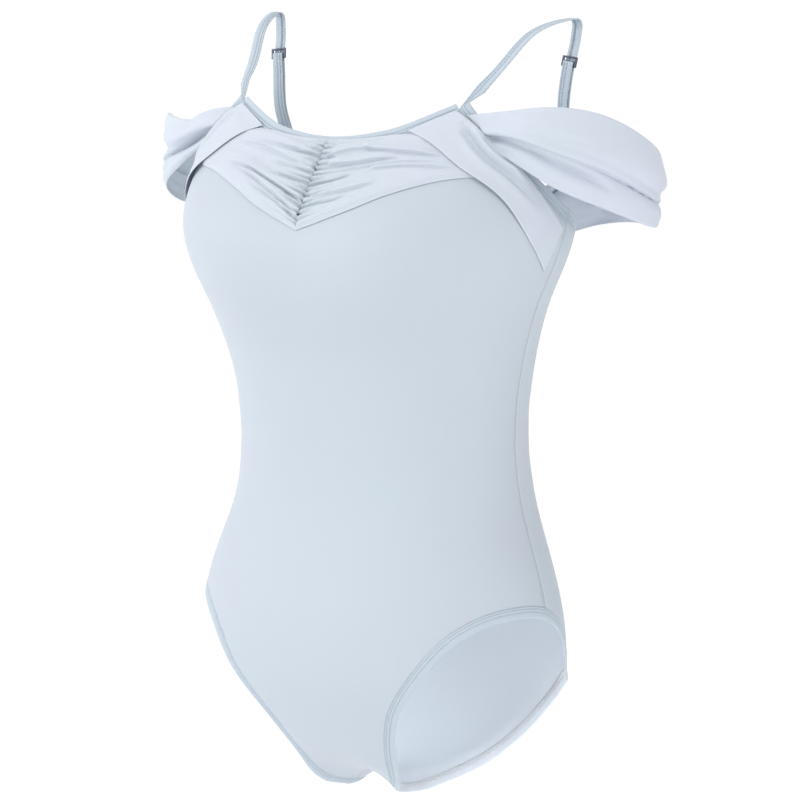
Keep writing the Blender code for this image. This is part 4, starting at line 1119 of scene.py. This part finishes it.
def gather_relief(u, v, depth_across, table):
    height = np.zeros(u.shape)
    for place, reach, depth, drift in table:
        t = np.clip(u / (reach * GATHER_RUN), 0, 1)
        width = GATHER_WIDTH["seam"] + (GATHER_WIDTH["end"] - GATHER_WIDTH["seam"]) * t
        off = (place + drift * t - v) * depth_across / width
        crest = GATHER_CREST * np.exp(-((np.abs(off) - GATHER_CREST_AT) ** 2))
        fold = np.exp(-np.abs(off) ** GATHER_POWER) - crest
        height = height - depth * (1 - t) ** GATHER_POWER * fold
    return height * GATHER_SHARE


def mesh_cloth(name, side, outer, inner):
    """A mesh drape between two nets whose rows run from its top down."""
    name = "%s_%s_cloth" % (name, side)
    made = shell(name, outer[::-1], inner[::-1], MESH, DRAPE_RIM, side == "right")
    return stands_for(made)


def smooth_step(x):
    x = np.clip(x, 0, 1)
    return x * x * (3 - 2 * x)


def bust_drape(side):
    crowd = np.linspace(0, 1, DRAPE_COLUMNS) ** DRAPE_CROWD
    top = even(trace(DRAPE_TOP), DRAPE_COLUMNS, DRAPE_CROWD)
    bottom = even(trace(DRAPE_BOTTOM), DRAPE_COLUMNS, DRAPE_CROWD)
    v = np.linspace(0, 1, DRAPE_ROWS)[:, None] + 0 * crowd[None]
    u = crowd[None] + 0 * v
    net = top[None] * (1 - v[..., None]) + bottom[None] * v[..., None]
    net[:, 0, 0] = 0.0
    flat = wear(net)
    depth_across = np.linalg.norm(flat[0] - flat[-1], axis=-1)[None, :]
    crown = np.sin(math.pi * u) ** DRAPE_CROWN
    lift = DRAPE_LIFT["seam"] + (DRAPE_LIFT["middle"] - DRAPE_LIFT["seam"]) * crown
    lift = lift + (DRAPE_LIFT["end"] - DRAPE_LIFT["seam"]) * u
    fade = smooth_step((1 - u) / DRAPE_FADE)
    relief = gather_relief(u, v, depth_across, GATHERS[side])
    sway = np.sin(FINE_PLEATS["sway_across"] * v + FINE_PLEATS["sway_along"] * u)
    wave = FINE_PLEATS["count"] * v + FINE_PLEATS["sway"] * sway
    pleats = FINE_PLEATS["height"] * np.sin(2 * math.pi * wave)
    relief = relief + pleats * np.exp(-((u / FINE_PLEATS["fade"]) ** 2))
    relief = relief + CREASE_SHARE * crease_relief(u, v, depth_across, DRAPE_CREASES[side]) * fade
    roll = np.clip(1 - u * DRAPE_LENGTH / SEAM_ROLL["reach"], 0, 1)
    pressed = np.clip(-relief / SEAM_ROLL["full_at"], 0, 1)
    lobes = SEAM_ROLL["least"] + (1 - SEAM_ROLL["least"]) * pressed
    height = lift + relief - SEAM_ROLL["depth"] * roll**2 * lobes
    hem_off = (DRAPE_HEM["place"] - v) * depth_across / DRAPE_HEM["width"]
    height = height - DRAPE_HEM["height"] * np.exp(-(hem_off**2))
    at_top = smooth_step(v / DRAPE_EDGE)
    at_bottom = smooth_step((1 - v) / DRAPE_EDGE)
    height = DRAPE_EDGE_LIFT["top"] + (height - DRAPE_EDGE_LIFT["top"]) * at_top
    height = DRAPE_EDGE_LIFT["bottom"] + (height - DRAPE_EDGE_LIFT["bottom"]) * at_bottom
    least = WALL + DRAPE_WALL + LAYER_GAP + (BINDING_WALL - WALL + LAYER_GAP) * (v < ON_BINDING)
    height = np.maximum(height, least)
    outer = wear(net, height)
    inner = wear(net, height - DRAPE_WALL)
    return mesh_cloth("bust_drape", side, outer, inner)


drapes = {side: bust_drape(side) for side in SIDES}

# Crossover drapes, with a place across from the inner edge to the outer one, and a place
# down from the neckline corner to the side seam
OVER_INNER = [
    (38.5, -0.0948), (48.5, -0.1090), (53.5, -0.1215), (59.0, -0.1325), (64.8, -0.1459),
    (69.2, -0.1596), (73.8, -0.1736), (79.1, -0.1870), (85.3, -0.2010),
]
OVER_OUTER = [
    (54.5, -0.0775), (59.0, -0.0885), (62.6, -0.1010), (65.4, -0.1105), (69.0, -0.1190),
    (73.6, -0.1310), (78.5, -0.1440), (83.5, -0.1565), (87.8, -0.1660),
]
OVER_ROWS = 170
OVER_COLUMNS = 60
OVER_WALL = 0.0006
OVER_LIFT = dict(high=0.0056, low=0.0022)
OVER_FALL = dict(start=0.42, stop=0.80)
OVER_CALM = 0.6  # how much flatter its creases are once it has come down
OVER_TUCK = dict(height=0.0030, reach=0.12)  # where its top end lies against the neckline
OVER_CREASES = {
    "left": [
        ("valley", (0.10, 0.90), (0.20, 0.74), (0.30, 0.70), 0.0012, 0.0032),
        ("valley", (0.14, 0.78), (0.40, 0.62), (0.76, 0.84), 0.0040, 0.0034),
        ("ridge", (0.16, 0.92), (0.36, 0.84), (0.62, 0.92), 0.0024, 0.0028),
        ("valley", (0.24, 0.97), (0.36, 0.93), (0.50, 0.97), 0.0020, 0.0022),
        ("ridge", (0.18, 0.58), (0.44, 0.44), (0.80, 0.60), 0.0018, 0.0040),
        ("valley", (0.52, 0.97), (0.66, 0.93), (0.82, 0.90), 0.0008, 0.0026),
        ("valley", (0.05, 0.45), (0.20, 0.40), (0.38, 0.30), 0.0005, 0.0040),
    ],
    "right": [
        ("valley", (0.03, 0.86), (0.30, 0.74), (0.80, 0.80), 0.0012, 0.0022),
        ("ridge", (0.03, 0.93), (0.30, 0.84), (0.80, 0.90), 0.0010, 0.0022),
        ("valley", (0.03, 0.97), (0.30, 0.92), (0.80, 0.96), 0.0010, 0.0018),
        ("valley", (0.10, 0.50), (0.30, 0.44), (0.60, 0.55), 0.0006, 0.0040),
    ],
}
EDGE_BEAD = dict(height=0.00030, at=0.0018, width=0.0012)  # the turned edge of a drape


def edge_bead(off):
    """A turned edge: a little thicker beside the edge."""
    return EDGE_BEAD["height"] * np.exp(-(((off - EDGE_BEAD["at"]) / EDGE_BEAD["width"]) ** 2))


def crossover_drape(side):
    a, b = even(trace(OVER_INNER), OVER_ROWS), even(trace(OVER_OUTER), OVER_ROWS)
    u = np.linspace(0, 1, OVER_COLUMNS)[None, :] + np.zeros((OVER_ROWS, 1))
    v = np.linspace(0, 1, OVER_ROWS)[:, None] + 0 * u
    net = a[:, None] * (1 - u[..., None]) + b[:, None] * u[..., None]
    flat = wear(net)
    width = np.linalg.norm(flat[:, 0] - flat[:, -1], axis=-1)[:, None]
    fall = smooth_step((v - OVER_FALL["start"]) / (OVER_FALL["stop"] - OVER_FALL["start"]))
    height = OVER_LIFT["high"] + (OVER_LIFT["low"] - OVER_LIFT["high"]) * fall
    height = height + crease_relief(v, u, width, OVER_CREASES[side]) * (1 - OVER_CALM * fall)
    risen = smooth_step(v / OVER_TUCK["reach"])
    height = OVER_TUCK["height"] + (height - OVER_TUCK["height"]) * risen
    height = height + edge_bead(u * width) + edge_bead((1 - u) * width)
    height = np.maximum(height, WALL + OVER_WALL + LAYER_GAP)
    outer = wear(net, height)
    inner = wear(net, height - OVER_WALL)
    return mesh_cloth("crossover_drape", side, outer, inner)


overs = {side: crossover_drape(side) for side in SIDES}

# Dropped sleeves. A place round goes from the front root round the arm to the back edge, a
# place across from the top edge to the bottom one.
SLEEVE_WALL = 0.0008
SLEEVE_LIFT = 0.0030
SLEEVE_FRONT = dict(top=(57.6, -0.0810), bottom=(64.0, -0.1100))
SLEEVE_BACK = dict(top=(121.0, -0.1400), bottom=(108.0, -0.1715))
# Rows round the arm: x, y, and the heights of the top and bottom edge.
SLEEVE = [
    (0.1540, -0.1005, -0.0755, -0.1150),
    (0.1850, -0.0905, -0.0720, -0.1330),
    (0.2110, -0.0700, -0.0755, -0.1460),
    (0.2255, -0.0420, -0.0865, -0.1560),
    (0.2285, -0.0130, -0.0985, -0.1625),
    (0.2190, 0.0130, -0.1060, -0.1635),
    (0.1990, 0.0340, -0.1110, -0.1625),
    (0.1750, 0.0450, -0.1150, -0.1615),
    (0.1500, 0.0480, -0.1240, -0.1640),
]
SLEEVE_ROWS = 90
SLEEVE_COLUMNS = 230
SLEEVE_BULGE = 0.0060
SLEEVE_CREASE = dict(
    left=dict(start=0.88, end=0.62, depth=0.0055, width=0.11),
    right=dict(start=0.75, end=0.44, depth=0.0085, width=0.10),
)
SLEEVE_DROP = dict(right=0.020, at=0.17, spread=0.20)
SLEEVE_DRAWN_IN = dict(right=0.004)
SLEEVE_OPENS = 0.12  # share of its length over which it fills out
SLEEVE_CREASE_RUN = 0.40
SLEEVE_LEAVES = 0.07  # share over which it leaves the curve of the body
SLEEVE_ENDS = dict(reach=0.03, share=0.25)  # how deep its creases are at its ends
SLEEVE_CREASES = {
    "left": [
        ("fold", (0.01, 0.46), (0.25, 0.56), (0.66, 0.66), 0.0036, 0.0022),
        ("valley", (0.01, 0.58), (0.16, 0.66), (0.36, 0.77), 0.0050, 0.0040),
        ("valley", (0.01, 0.64), (0.08, 0.66), (0.20, 0.70), 0.0018, 0.0022),
        ("fold", (0.08, 0.30), (0.30, 0.42), (0.62, 0.52), 0.0012, 0.0050),
        ("valley", (0.02, 0.30), (0.10, 0.34), (0.30, 0.36), 0.0010, 0.0035),
        ("valley", (0.03, 0.88), (0.12, 0.90), (0.28, 0.93), 0.0012, 0.0030),
        ("valley", (0.62, 0.30), (0.80, 0.36), (0.99, 0.42), 0.0020, 0.0045),
        ("valley", (0.66, 0.62), (0.82, 0.62), (0.99, 0.60), 0.0022, 0.0040),
        ("fold", (0.55, 0.45), (0.78, 0.50), (0.98, 0.52), 0.0016, 0.0030),
        ("valley", (0.74, 0.84), (0.88, 0.80), (0.99, 0.76), 0.0014, 0.0030),
    ],
    "right": [
        ("fold", (0.01, 0.50), (0.20, 0.56), (0.60, 0.62), 0.0030, 0.0026),
        ("valley", (0.02, 0.62), (0.16, 0.64), (0.50, 0.72), 0.0024, 0.0040),
        ("valley", (0.02, 0.74), (0.20, 0.80), (0.55, 0.84), 0.0020, 0.0034),
        ("valley", (0.02, 0.26), (0.20, 0.24), (0.50, 0.30), 0.0016, 0.0045),
        ("ridge", (0.10, 0.86), (0.30, 0.90), (0.60, 0.92), 0.0010, 0.0030),
        ("valley", (0.62, 0.32), (0.80, 0.38), (0.99, 0.44), 0.0020, 0.0045),
        ("valley", (0.66, 0.66), (0.82, 0.62), (0.99, 0.58), 0.0022, 0.0040),
        ("fold", (0.55, 0.48), (0.78, 0.50), (0.98, 0.52), 0.0014, 0.0030),
    ],
}


def sleeve_root(ends):
    line = np.array([(math.radians(angle), station) for angle, station in ends.values()])
    return wear(line, SLEEVE_LIFT - SLEEVE_WALL).reshape(-1)


def root_on_body(points, across):
    """The band's points, its two ends laid on the curve of the body."""
    reach = np.linspace(0, 1, len(points))
    for row, ends in ((0, SLEEVE_FRONT), (-1, SLEEVE_BACK)):
        top, bottom = [np.array([math.radians(a), b]) for a, b in ends.values()]
        line = top + (bottom - top) * across[:, None]
        bow = wear(line, SLEEVE_LIFT - SLEEVE_WALL) - points[row]
        away = reach if row == 0 else 1 - reach
        points = points + bow[None] * np.exp(-((away / SLEEVE_LEAVES) ** 2))[:, None, None]
    return points


def sleeve(side):
    rows = [sleeve_root(SLEEVE_FRONT)]
    rows += [[x, y, top, x, y, bottom] for x, y, top, bottom in SLEEVE]
    rows.append(sleeve_root(SLEEVE_BACK))
    rows = np.array(rows, float)
    line = smooth(rows, (rows[:, :3] + rows[:, 3:]) / 2, SLEEVE_COLUMNS)
    round_arm = np.linspace(0, 1, SLEEVE_COLUMNS)[:, None, None]
    across = np.linspace(0, 1, SLEEVE_ROWS)[None, :, None]
    top, bottom = line[:, None, :3], line[:, None, 3:]
    ahead = np.gradient((line[:, :3] + line[:, 3:]) / 2, axis=0)
    out = unit(np.stack([ahead[:, 1], -ahead[:, 0], 0 * ahead[:, 0]], -1))[:, None]
    fold = SLEEVE_CREASE[side]
    run = np.clip(round_arm / SLEEVE_CREASE_RUN, 0, 1)
    place = fold["start"] + (fold["end"] - fold["start"]) * run
    free = np.clip(np.minimum(round_arm, 1 - round_arm) / SLEEVE_OPENS, 0, 1)
    puff = SLEEVE_BULGE * np.sin(math.pi * across) ** DRAPE_CROWN
    crease = fold["depth"] * np.exp(-(((across - place) / fold["width"]) ** 2) / 2)
    crease = crease * np.clip(4 * (1 - across) * across, 0, 1)
    points = root_on_body(top * (1 - across) + bottom * across, across[0, :, 0])
    points = points + out * (puff - crease) * free
    sag = np.exp(-(((round_arm - SLEEVE_DROP["at"]) / SLEEVE_DROP["spread"]) ** 2))
    points[..., 2:] -= SLEEVE_DROP.get(side, 0.0) * sag * (1 - across) * free
    points -= SLEEVE_DRAWN_IN.get(side, 0.0) * out * free
    u, v = np.broadcast_arrays(round_arm[..., 0], across[..., 0])
    depth_across = np.linalg.norm(points[:, 0] - points[:, -1], axis=-1)[:, None]
    relief = crease_relief(u, v, depth_across, SLEEVE_CREASES[side])
    relief = relief + edge_bead(v * depth_across) + edge_bead((1 - v) * depth_across)
    settled = smooth_step(np.minimum(u, 1 - u) / SLEEVE_ENDS["reach"])
    settled = SLEEVE_ENDS["share"] + (1 - SLEEVE_ENDS["share"]) * settled
    points = points + out * (relief * settled)[..., None]
    along = np.gradient(points, axis=0)
    down = np.gradient(points, axis=1)
    normals = unit(np.cross(along, -down))
    outer = points + normals * SLEEVE_WALL
    return mesh_cloth("sleeve", side, outer.transpose(1, 0, 2), points.transpose(1, 0, 2))


sleeves = {side: sleeve(side) for side in SIDES}

# Armhole binding and shoulder strap, one strip. Each row of the path is a point in the middle
# of the strip's inner face, and the heading of its width in degrees from sideways.
STRAP_WALL = 0.0014
STRAP_JOIN = -0.0700
STRAP = [
    (0.1146, -0.0890, -0.0605, 22),
    (0.1180, -0.0779, -0.0500, 8),
    (0.1234, -0.0638, -0.0350, 0),
    (0.1314, -0.0454, -0.0155, 0),
    (0.1375, -0.0287, -0.0070, 0),
    (0.1430, -0.0140, -0.0028, 0),
    (0.1456, -0.0055, -0.0015, 0),
    (0.1463, -0.0018, -0.0022, 0),
    (0.1463, 0.0003, -0.0052, 0),
    (0.1459, 0.0006, -0.0095, 0),
    (0.1448, 0.0000, -0.0200, 0),
    (0.1432, -0.0030, -0.0350, 0),
    (0.1414, -0.0041, -0.0500, -2),
    (0.1403, -0.0045, -0.0650, -6),
    (0.1395, -0.0030, -0.0800, -12),
    (0.1372, 0.0040, -0.1000, -20),
    (0.1335, 0.0160, -0.1220, -28),
]
TOP_BEND = (6, 10)  # rows between which the strip bends sharply over the shoulder
SLIDER_ROW = 11
STRAP_STEPS = dict(armhole=70, rise=90, bend=50, to_slider=16, to_ring=90, turn=18)

RING_ANGLE = math.radians(127.0)
WIRE = 0.0008
CLEAR = 0.0004
LOOP_GAP = WIRE + CLEAR
RING_HEIGHT = 0.0060
TAB_RISE = 0.0018
TAB_GAP = 0.0016
TAB_LENGTH = 0.0095
TAB_WALL = 0.0012
TAB_STEPS = dict(leg=6, turn=14)
RING_APPROACH = (0.010, 0.0)  # how far above the ring's wire the strap's last rows lie
ARM_KEPT = 8  # every so many rows along the armhole steer the strap's path


def back_frame():
    """Where the ring's tab sits on the back edge, and the directions out, sideways and up."""
    angle, station = back_edge[np.argmin(np.abs(back_edge[:, 0] - RING_ANGLE))]
    out = body_normal(angle, station)
    across = unit(np.cross(out, np.array([0.0, 0.0, 1.0])))
    across = across if across[0] > 0 else -across
    up = unit(np.cross(out, across))
    up = up if up[2] > 0 else -up
    return body(angle, station) + out * (BINDING_WALL / 2 - WALL), out, across, up


EDGE_AT, EDGE_OUT, EDGE_ACROSS, EDGE_UP = back_frame()
RING_AT = EDGE_AT + EDGE_UP * (TAB_RISE + RING_HEIGHT / 2)


def hairpin(centre, out, up, steps, clearance):
    """Points of a half turn over a wire, from its outer side to its inner side."""
    turn = np.linspace(0, math.pi, steps)[:, None]
    return centre + clearance * (np.cos(turn) * out + np.sin(turn) * up)


def armhole_edges():
    """The cloth side and the finished edge of the strip along the armhole, from the side up."""
    stop = np.interp(STRAP_JOIN, arm_edge[:, 1], np.arange(len(arm_edge)))
    lines = []
    for line in (arm_inner, arm_edge):
        start, _ = crossing(line, FRONT_SIDE)
        lines.append(pick(line, places(line, start, stop, STRAP_STEPS["armhole"])))
    return lines


def strap_path():
    cloth_side, edge = armhole_edges()
    left, normals = on_body(cloth_side)
    right, _ = on_body(edge)
    rows = [np.concatenate([(a + b) / 2, unit(b - a)]) for a, b in zip(left, right)]
    for x, y, z, turn in STRAP:
        turn = math.radians(turn)
        rows.append(np.array([x, y, z, math.cos(turn), math.sin(turn), 0.0]))
    top_wire = RING_AT + EDGE_UP * RING_HEIGHT / 2
    for lift in RING_APPROACH:
        at = top_wire + EDGE_UP * lift + EDGE_OUT * LOOP_GAP
        rows.append(np.concatenate([at, EDGE_ACROSS]))
    rows = np.array(rows)
    first = len(left)
    kept = list(range(0, first, ARM_KEPT)) + list(range(first, len(rows)))
    along = measure(rows[kept, :3])
    curve = natural_spline(along, rows[kept])
    free = along[len(kept) - len(rows) + first :]
    bend = [free[k] for k in TOP_BEND]
    steps = STRAP_STEPS
    spots = np.concatenate(
        [
            np.linspace(free[0], bend[0], steps["rise"])[:-1],
            np.linspace(*bend, steps["bend"])[:-1],
            np.linspace(bend[1], free[SLIDER_ROW], steps["to_slider"])[:-1],
            np.linspace(free[SLIDER_ROW], free[-1], steps["to_ring"]),
        ]
    )
    return left, right, normals, curve(spots)


def strap(side):
    left, right, normals, path = strap_path()
    down = path[-STRAP_STEPS["to_ring"] :]
    ahead = unit(np.gradient(down[:, :3], axis=0))
    flat = unit(down[:, 3:] - np.sum(down[:, 3:] * ahead, -1, keepdims=True) * ahead)
    out = unit(np.cross(flat, ahead))
    back = (down[:, :3] - 2 * LOOP_GAP * out)[-2::-1]
    top_wire = RING_AT + EDGE_UP * RING_HEIGHT / 2
    turn = hairpin(top_wire, EDGE_OUT, -EDGE_UP, STRAP_STEPS["turn"], LOOP_GAP)
    points = np.concatenate([path[:, :3], turn[1:], back])
    widths = np.concatenate(
        [path[:, 3:], np.repeat(EDGE_ACROSS[None], len(turn) - 1, 0), down[-2::-1, 3:]]
    )
    ahead = unit(np.gradient(points, axis=0))
    widths = unit(widths - np.sum(widths * ahead, -1, keepdims=True) * ahead)
    out = unit(np.cross(widths, ahead))
    left = np.concatenate([left, points - widths * BINDING_WIDTH / 2])
    right = np.concatenate([right, points + widths * BINDING_WIDTH / 2])
    normals = np.concatenate([normals, out])
    name = "strap_%s_cloth" % side
    made, sewn = stitched_band(name, left, right, normals, STRAP_WALL, side == "right")
    return stands_for(made), sewn


def ring_tab(side):
    wire = EDGE_AT + EDGE_UP * TAB_RISE
    leg = np.linspace(-TAB_LENGTH, -TAB_LENGTH / 3, TAB_STEPS["leg"])[:, None] * EDGE_UP
    outer = wire + leg + EDGE_OUT * TAB_GAP
    inner = (wire + leg - EDGE_OUT * TAB_GAP)[::-1]
    turn = hairpin(wire, EDGE_OUT, EDGE_UP, TAB_STEPS["turn"], TAB_GAP)
    points = np.concatenate([outer, turn, inner])
    ahead = unit(np.gradient(points, axis=0))
    normals = unit(np.cross(-EDGE_ACROSS, ahead))
    left = points + EDGE_ACROSS * BINDING_WIDTH / 2
    right = points - EDGE_ACROSS * BINDING_WIDTH / 2
    name = "ring_tab_%s_cloth" % side
    return stands_for(band(name, left, right, normals, TAB_WALL, side == "right"))


straps = {side: strap(side) for side in SIDES}
tabs = {side: ring_tab(side) for side in SIDES}

for name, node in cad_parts.items():
    if name.startswith(("ring_", "slider_")) and not name.startswith("ring_tab"):
        node.data.materials.clear()
        node.data.materials.append(METAL)


# Floor, world, lights and camera
FLOOR = dict(z=-1.100, reach=300.0, colour=(0.99, 0.99, 0.99), dark=0.995, grain=60.0, detail=2.0)
FLOOR_GLOW = 0.10
WHITE = (1.0, 1.0, 1.0, 1.0)
VIEW = dict(azimuth=34.0, elevation=3.98, roll=2.01, distance=3.5)
VIEW_TARGET = Vector((0.0, -0.017, -0.3154))
PIXEL = 0.00082  # metres on the target that one pixel of the image spans
IMAGE = 800
SENSOR = 36.0


def look_at(place, target, roll=0.0):
    """A rotation that looks from place to target, turned by roll degrees."""
    turn = (target - place).to_track_quat("-Z", "Y").to_matrix()
    return (turn @ Matrix.Rotation(math.radians(roll), 3, "Z")).to_euler()


def make_camera():
    azimuth, elevation = math.radians(VIEW["azimuth"]), math.radians(VIEW["elevation"])
    back = Vector(
        (
            math.sin(azimuth) * math.cos(elevation),
            -math.cos(azimuth) * math.cos(elevation),
            math.sin(elevation),
        )
    )
    lens = bpy.data.cameras.new("camera")
    lens.sensor_width = SENSOR
    lens.lens = VIEW["distance"] / PIXEL / IMAGE * SENSOR
    made = bpy.data.objects.new("camera", lens)
    made.location = VIEW_TARGET + back * VIEW["distance"]
    made.rotation_euler = look_at(made.location, VIEW_TARGET, VIEW["roll"])
    bpy.context.scene.collection.objects.link(made)
    bpy.context.scene.camera = made


def area_light(name, place, size, power):
    lamp = bpy.data.lights.new(name, "AREA")
    lamp.shape = "RECTANGLE"
    lamp.size, lamp.size_y = size
    lamp.energy = power
    made = bpy.data.objects.new(name, lamp)
    made.location = place
    made.rotation_euler = look_at(Vector(place), VIEW_TARGET)
    bpy.context.scene.collection.objects.link(made)


def make_floor():
    """A plain pale floor."""
    n = Nodes("pale_floor")
    grain = n.noise(FLOOR["grain"], FLOOR["detail"])
    colour = FLOOR["colour"]
    look = n.finish(
        {
            "Base Color": n.blend(grain, colour, shade(colour, FLOOR["dark"])),
            "Roughness": 0.8,
            "Specular IOR Level": 0.1,
            "Emission Color": WHITE,
            "Emission Strength": FLOOR_GLOW,
        }
    )
    corners = ((-1, -1), (1, -1), (1, 1), (-1, 1))
    points = [(FLOOR["reach"] * x, FLOOR["reach"] * y, FLOOR["z"]) for x, y in corners]
    mesh = bpy.data.meshes.new("floor")
    mesh.from_pydata(points, [], [(0, 1, 2, 3)])
    mesh.materials.append(look)
    made = bpy.data.objects.new("floor", mesh)
    bpy.context.scene.collection.objects.link(made)


make_camera()
make_floor()
area_light("key", (-2.5, -2.2, 1.0), (2.2, 2.2), 53.0)
area_light("side", (3.0, -0.9, 0.3), (0.8, 2.4), 25.0)
area_light("top", (0.0, -0.2, 2.2), (2.4, 2.4), 6.0)

DARK_SIDE = dict(towards=(0.719, 0.694, 0.0), start=0.30, bright=1.02, share=0.80)


def make_world():
    """White all round, but for a softly darker side behind the wearer's left shoulder."""
    world = bpy.data.worlds.new("studio")
    world.use_nodes = True
    tree = world.node_tree
    coordinates = tree.nodes.new("ShaderNodeTexCoord")
    facing = tree.nodes.new("ShaderNodeVectorMath")
    facing.operation = "DOT_PRODUCT"
    facing.inputs[1].default_value = DARK_SIDE["towards"]
    fade = tree.nodes.new("ShaderNodeMapRange")
    fade.inputs["From Min"].default_value = DARK_SIDE["start"]
    fade.inputs["From Max"].default_value = 1.0
    fade.inputs["To Min"].default_value = DARK_SIDE["bright"]
    fade.inputs["To Max"].default_value = 1.0 - DARK_SIDE["share"]
    tree.links.new(coordinates.outputs["Generated"], facing.inputs[0])
    tree.links.new(facing.outputs["Value"], fade.inputs["Value"])
    tree.links.new(fade.outputs["Result"], tree.nodes["Background"].inputs["Strength"])
    tree.nodes["Background"].inputs["Color"].default_value = WHITE
    bpy.context.scene.world = world


make_world()
bpy.context.scene.view_settings.view_transform = "Standard"

bpy.context.view_layer.update()
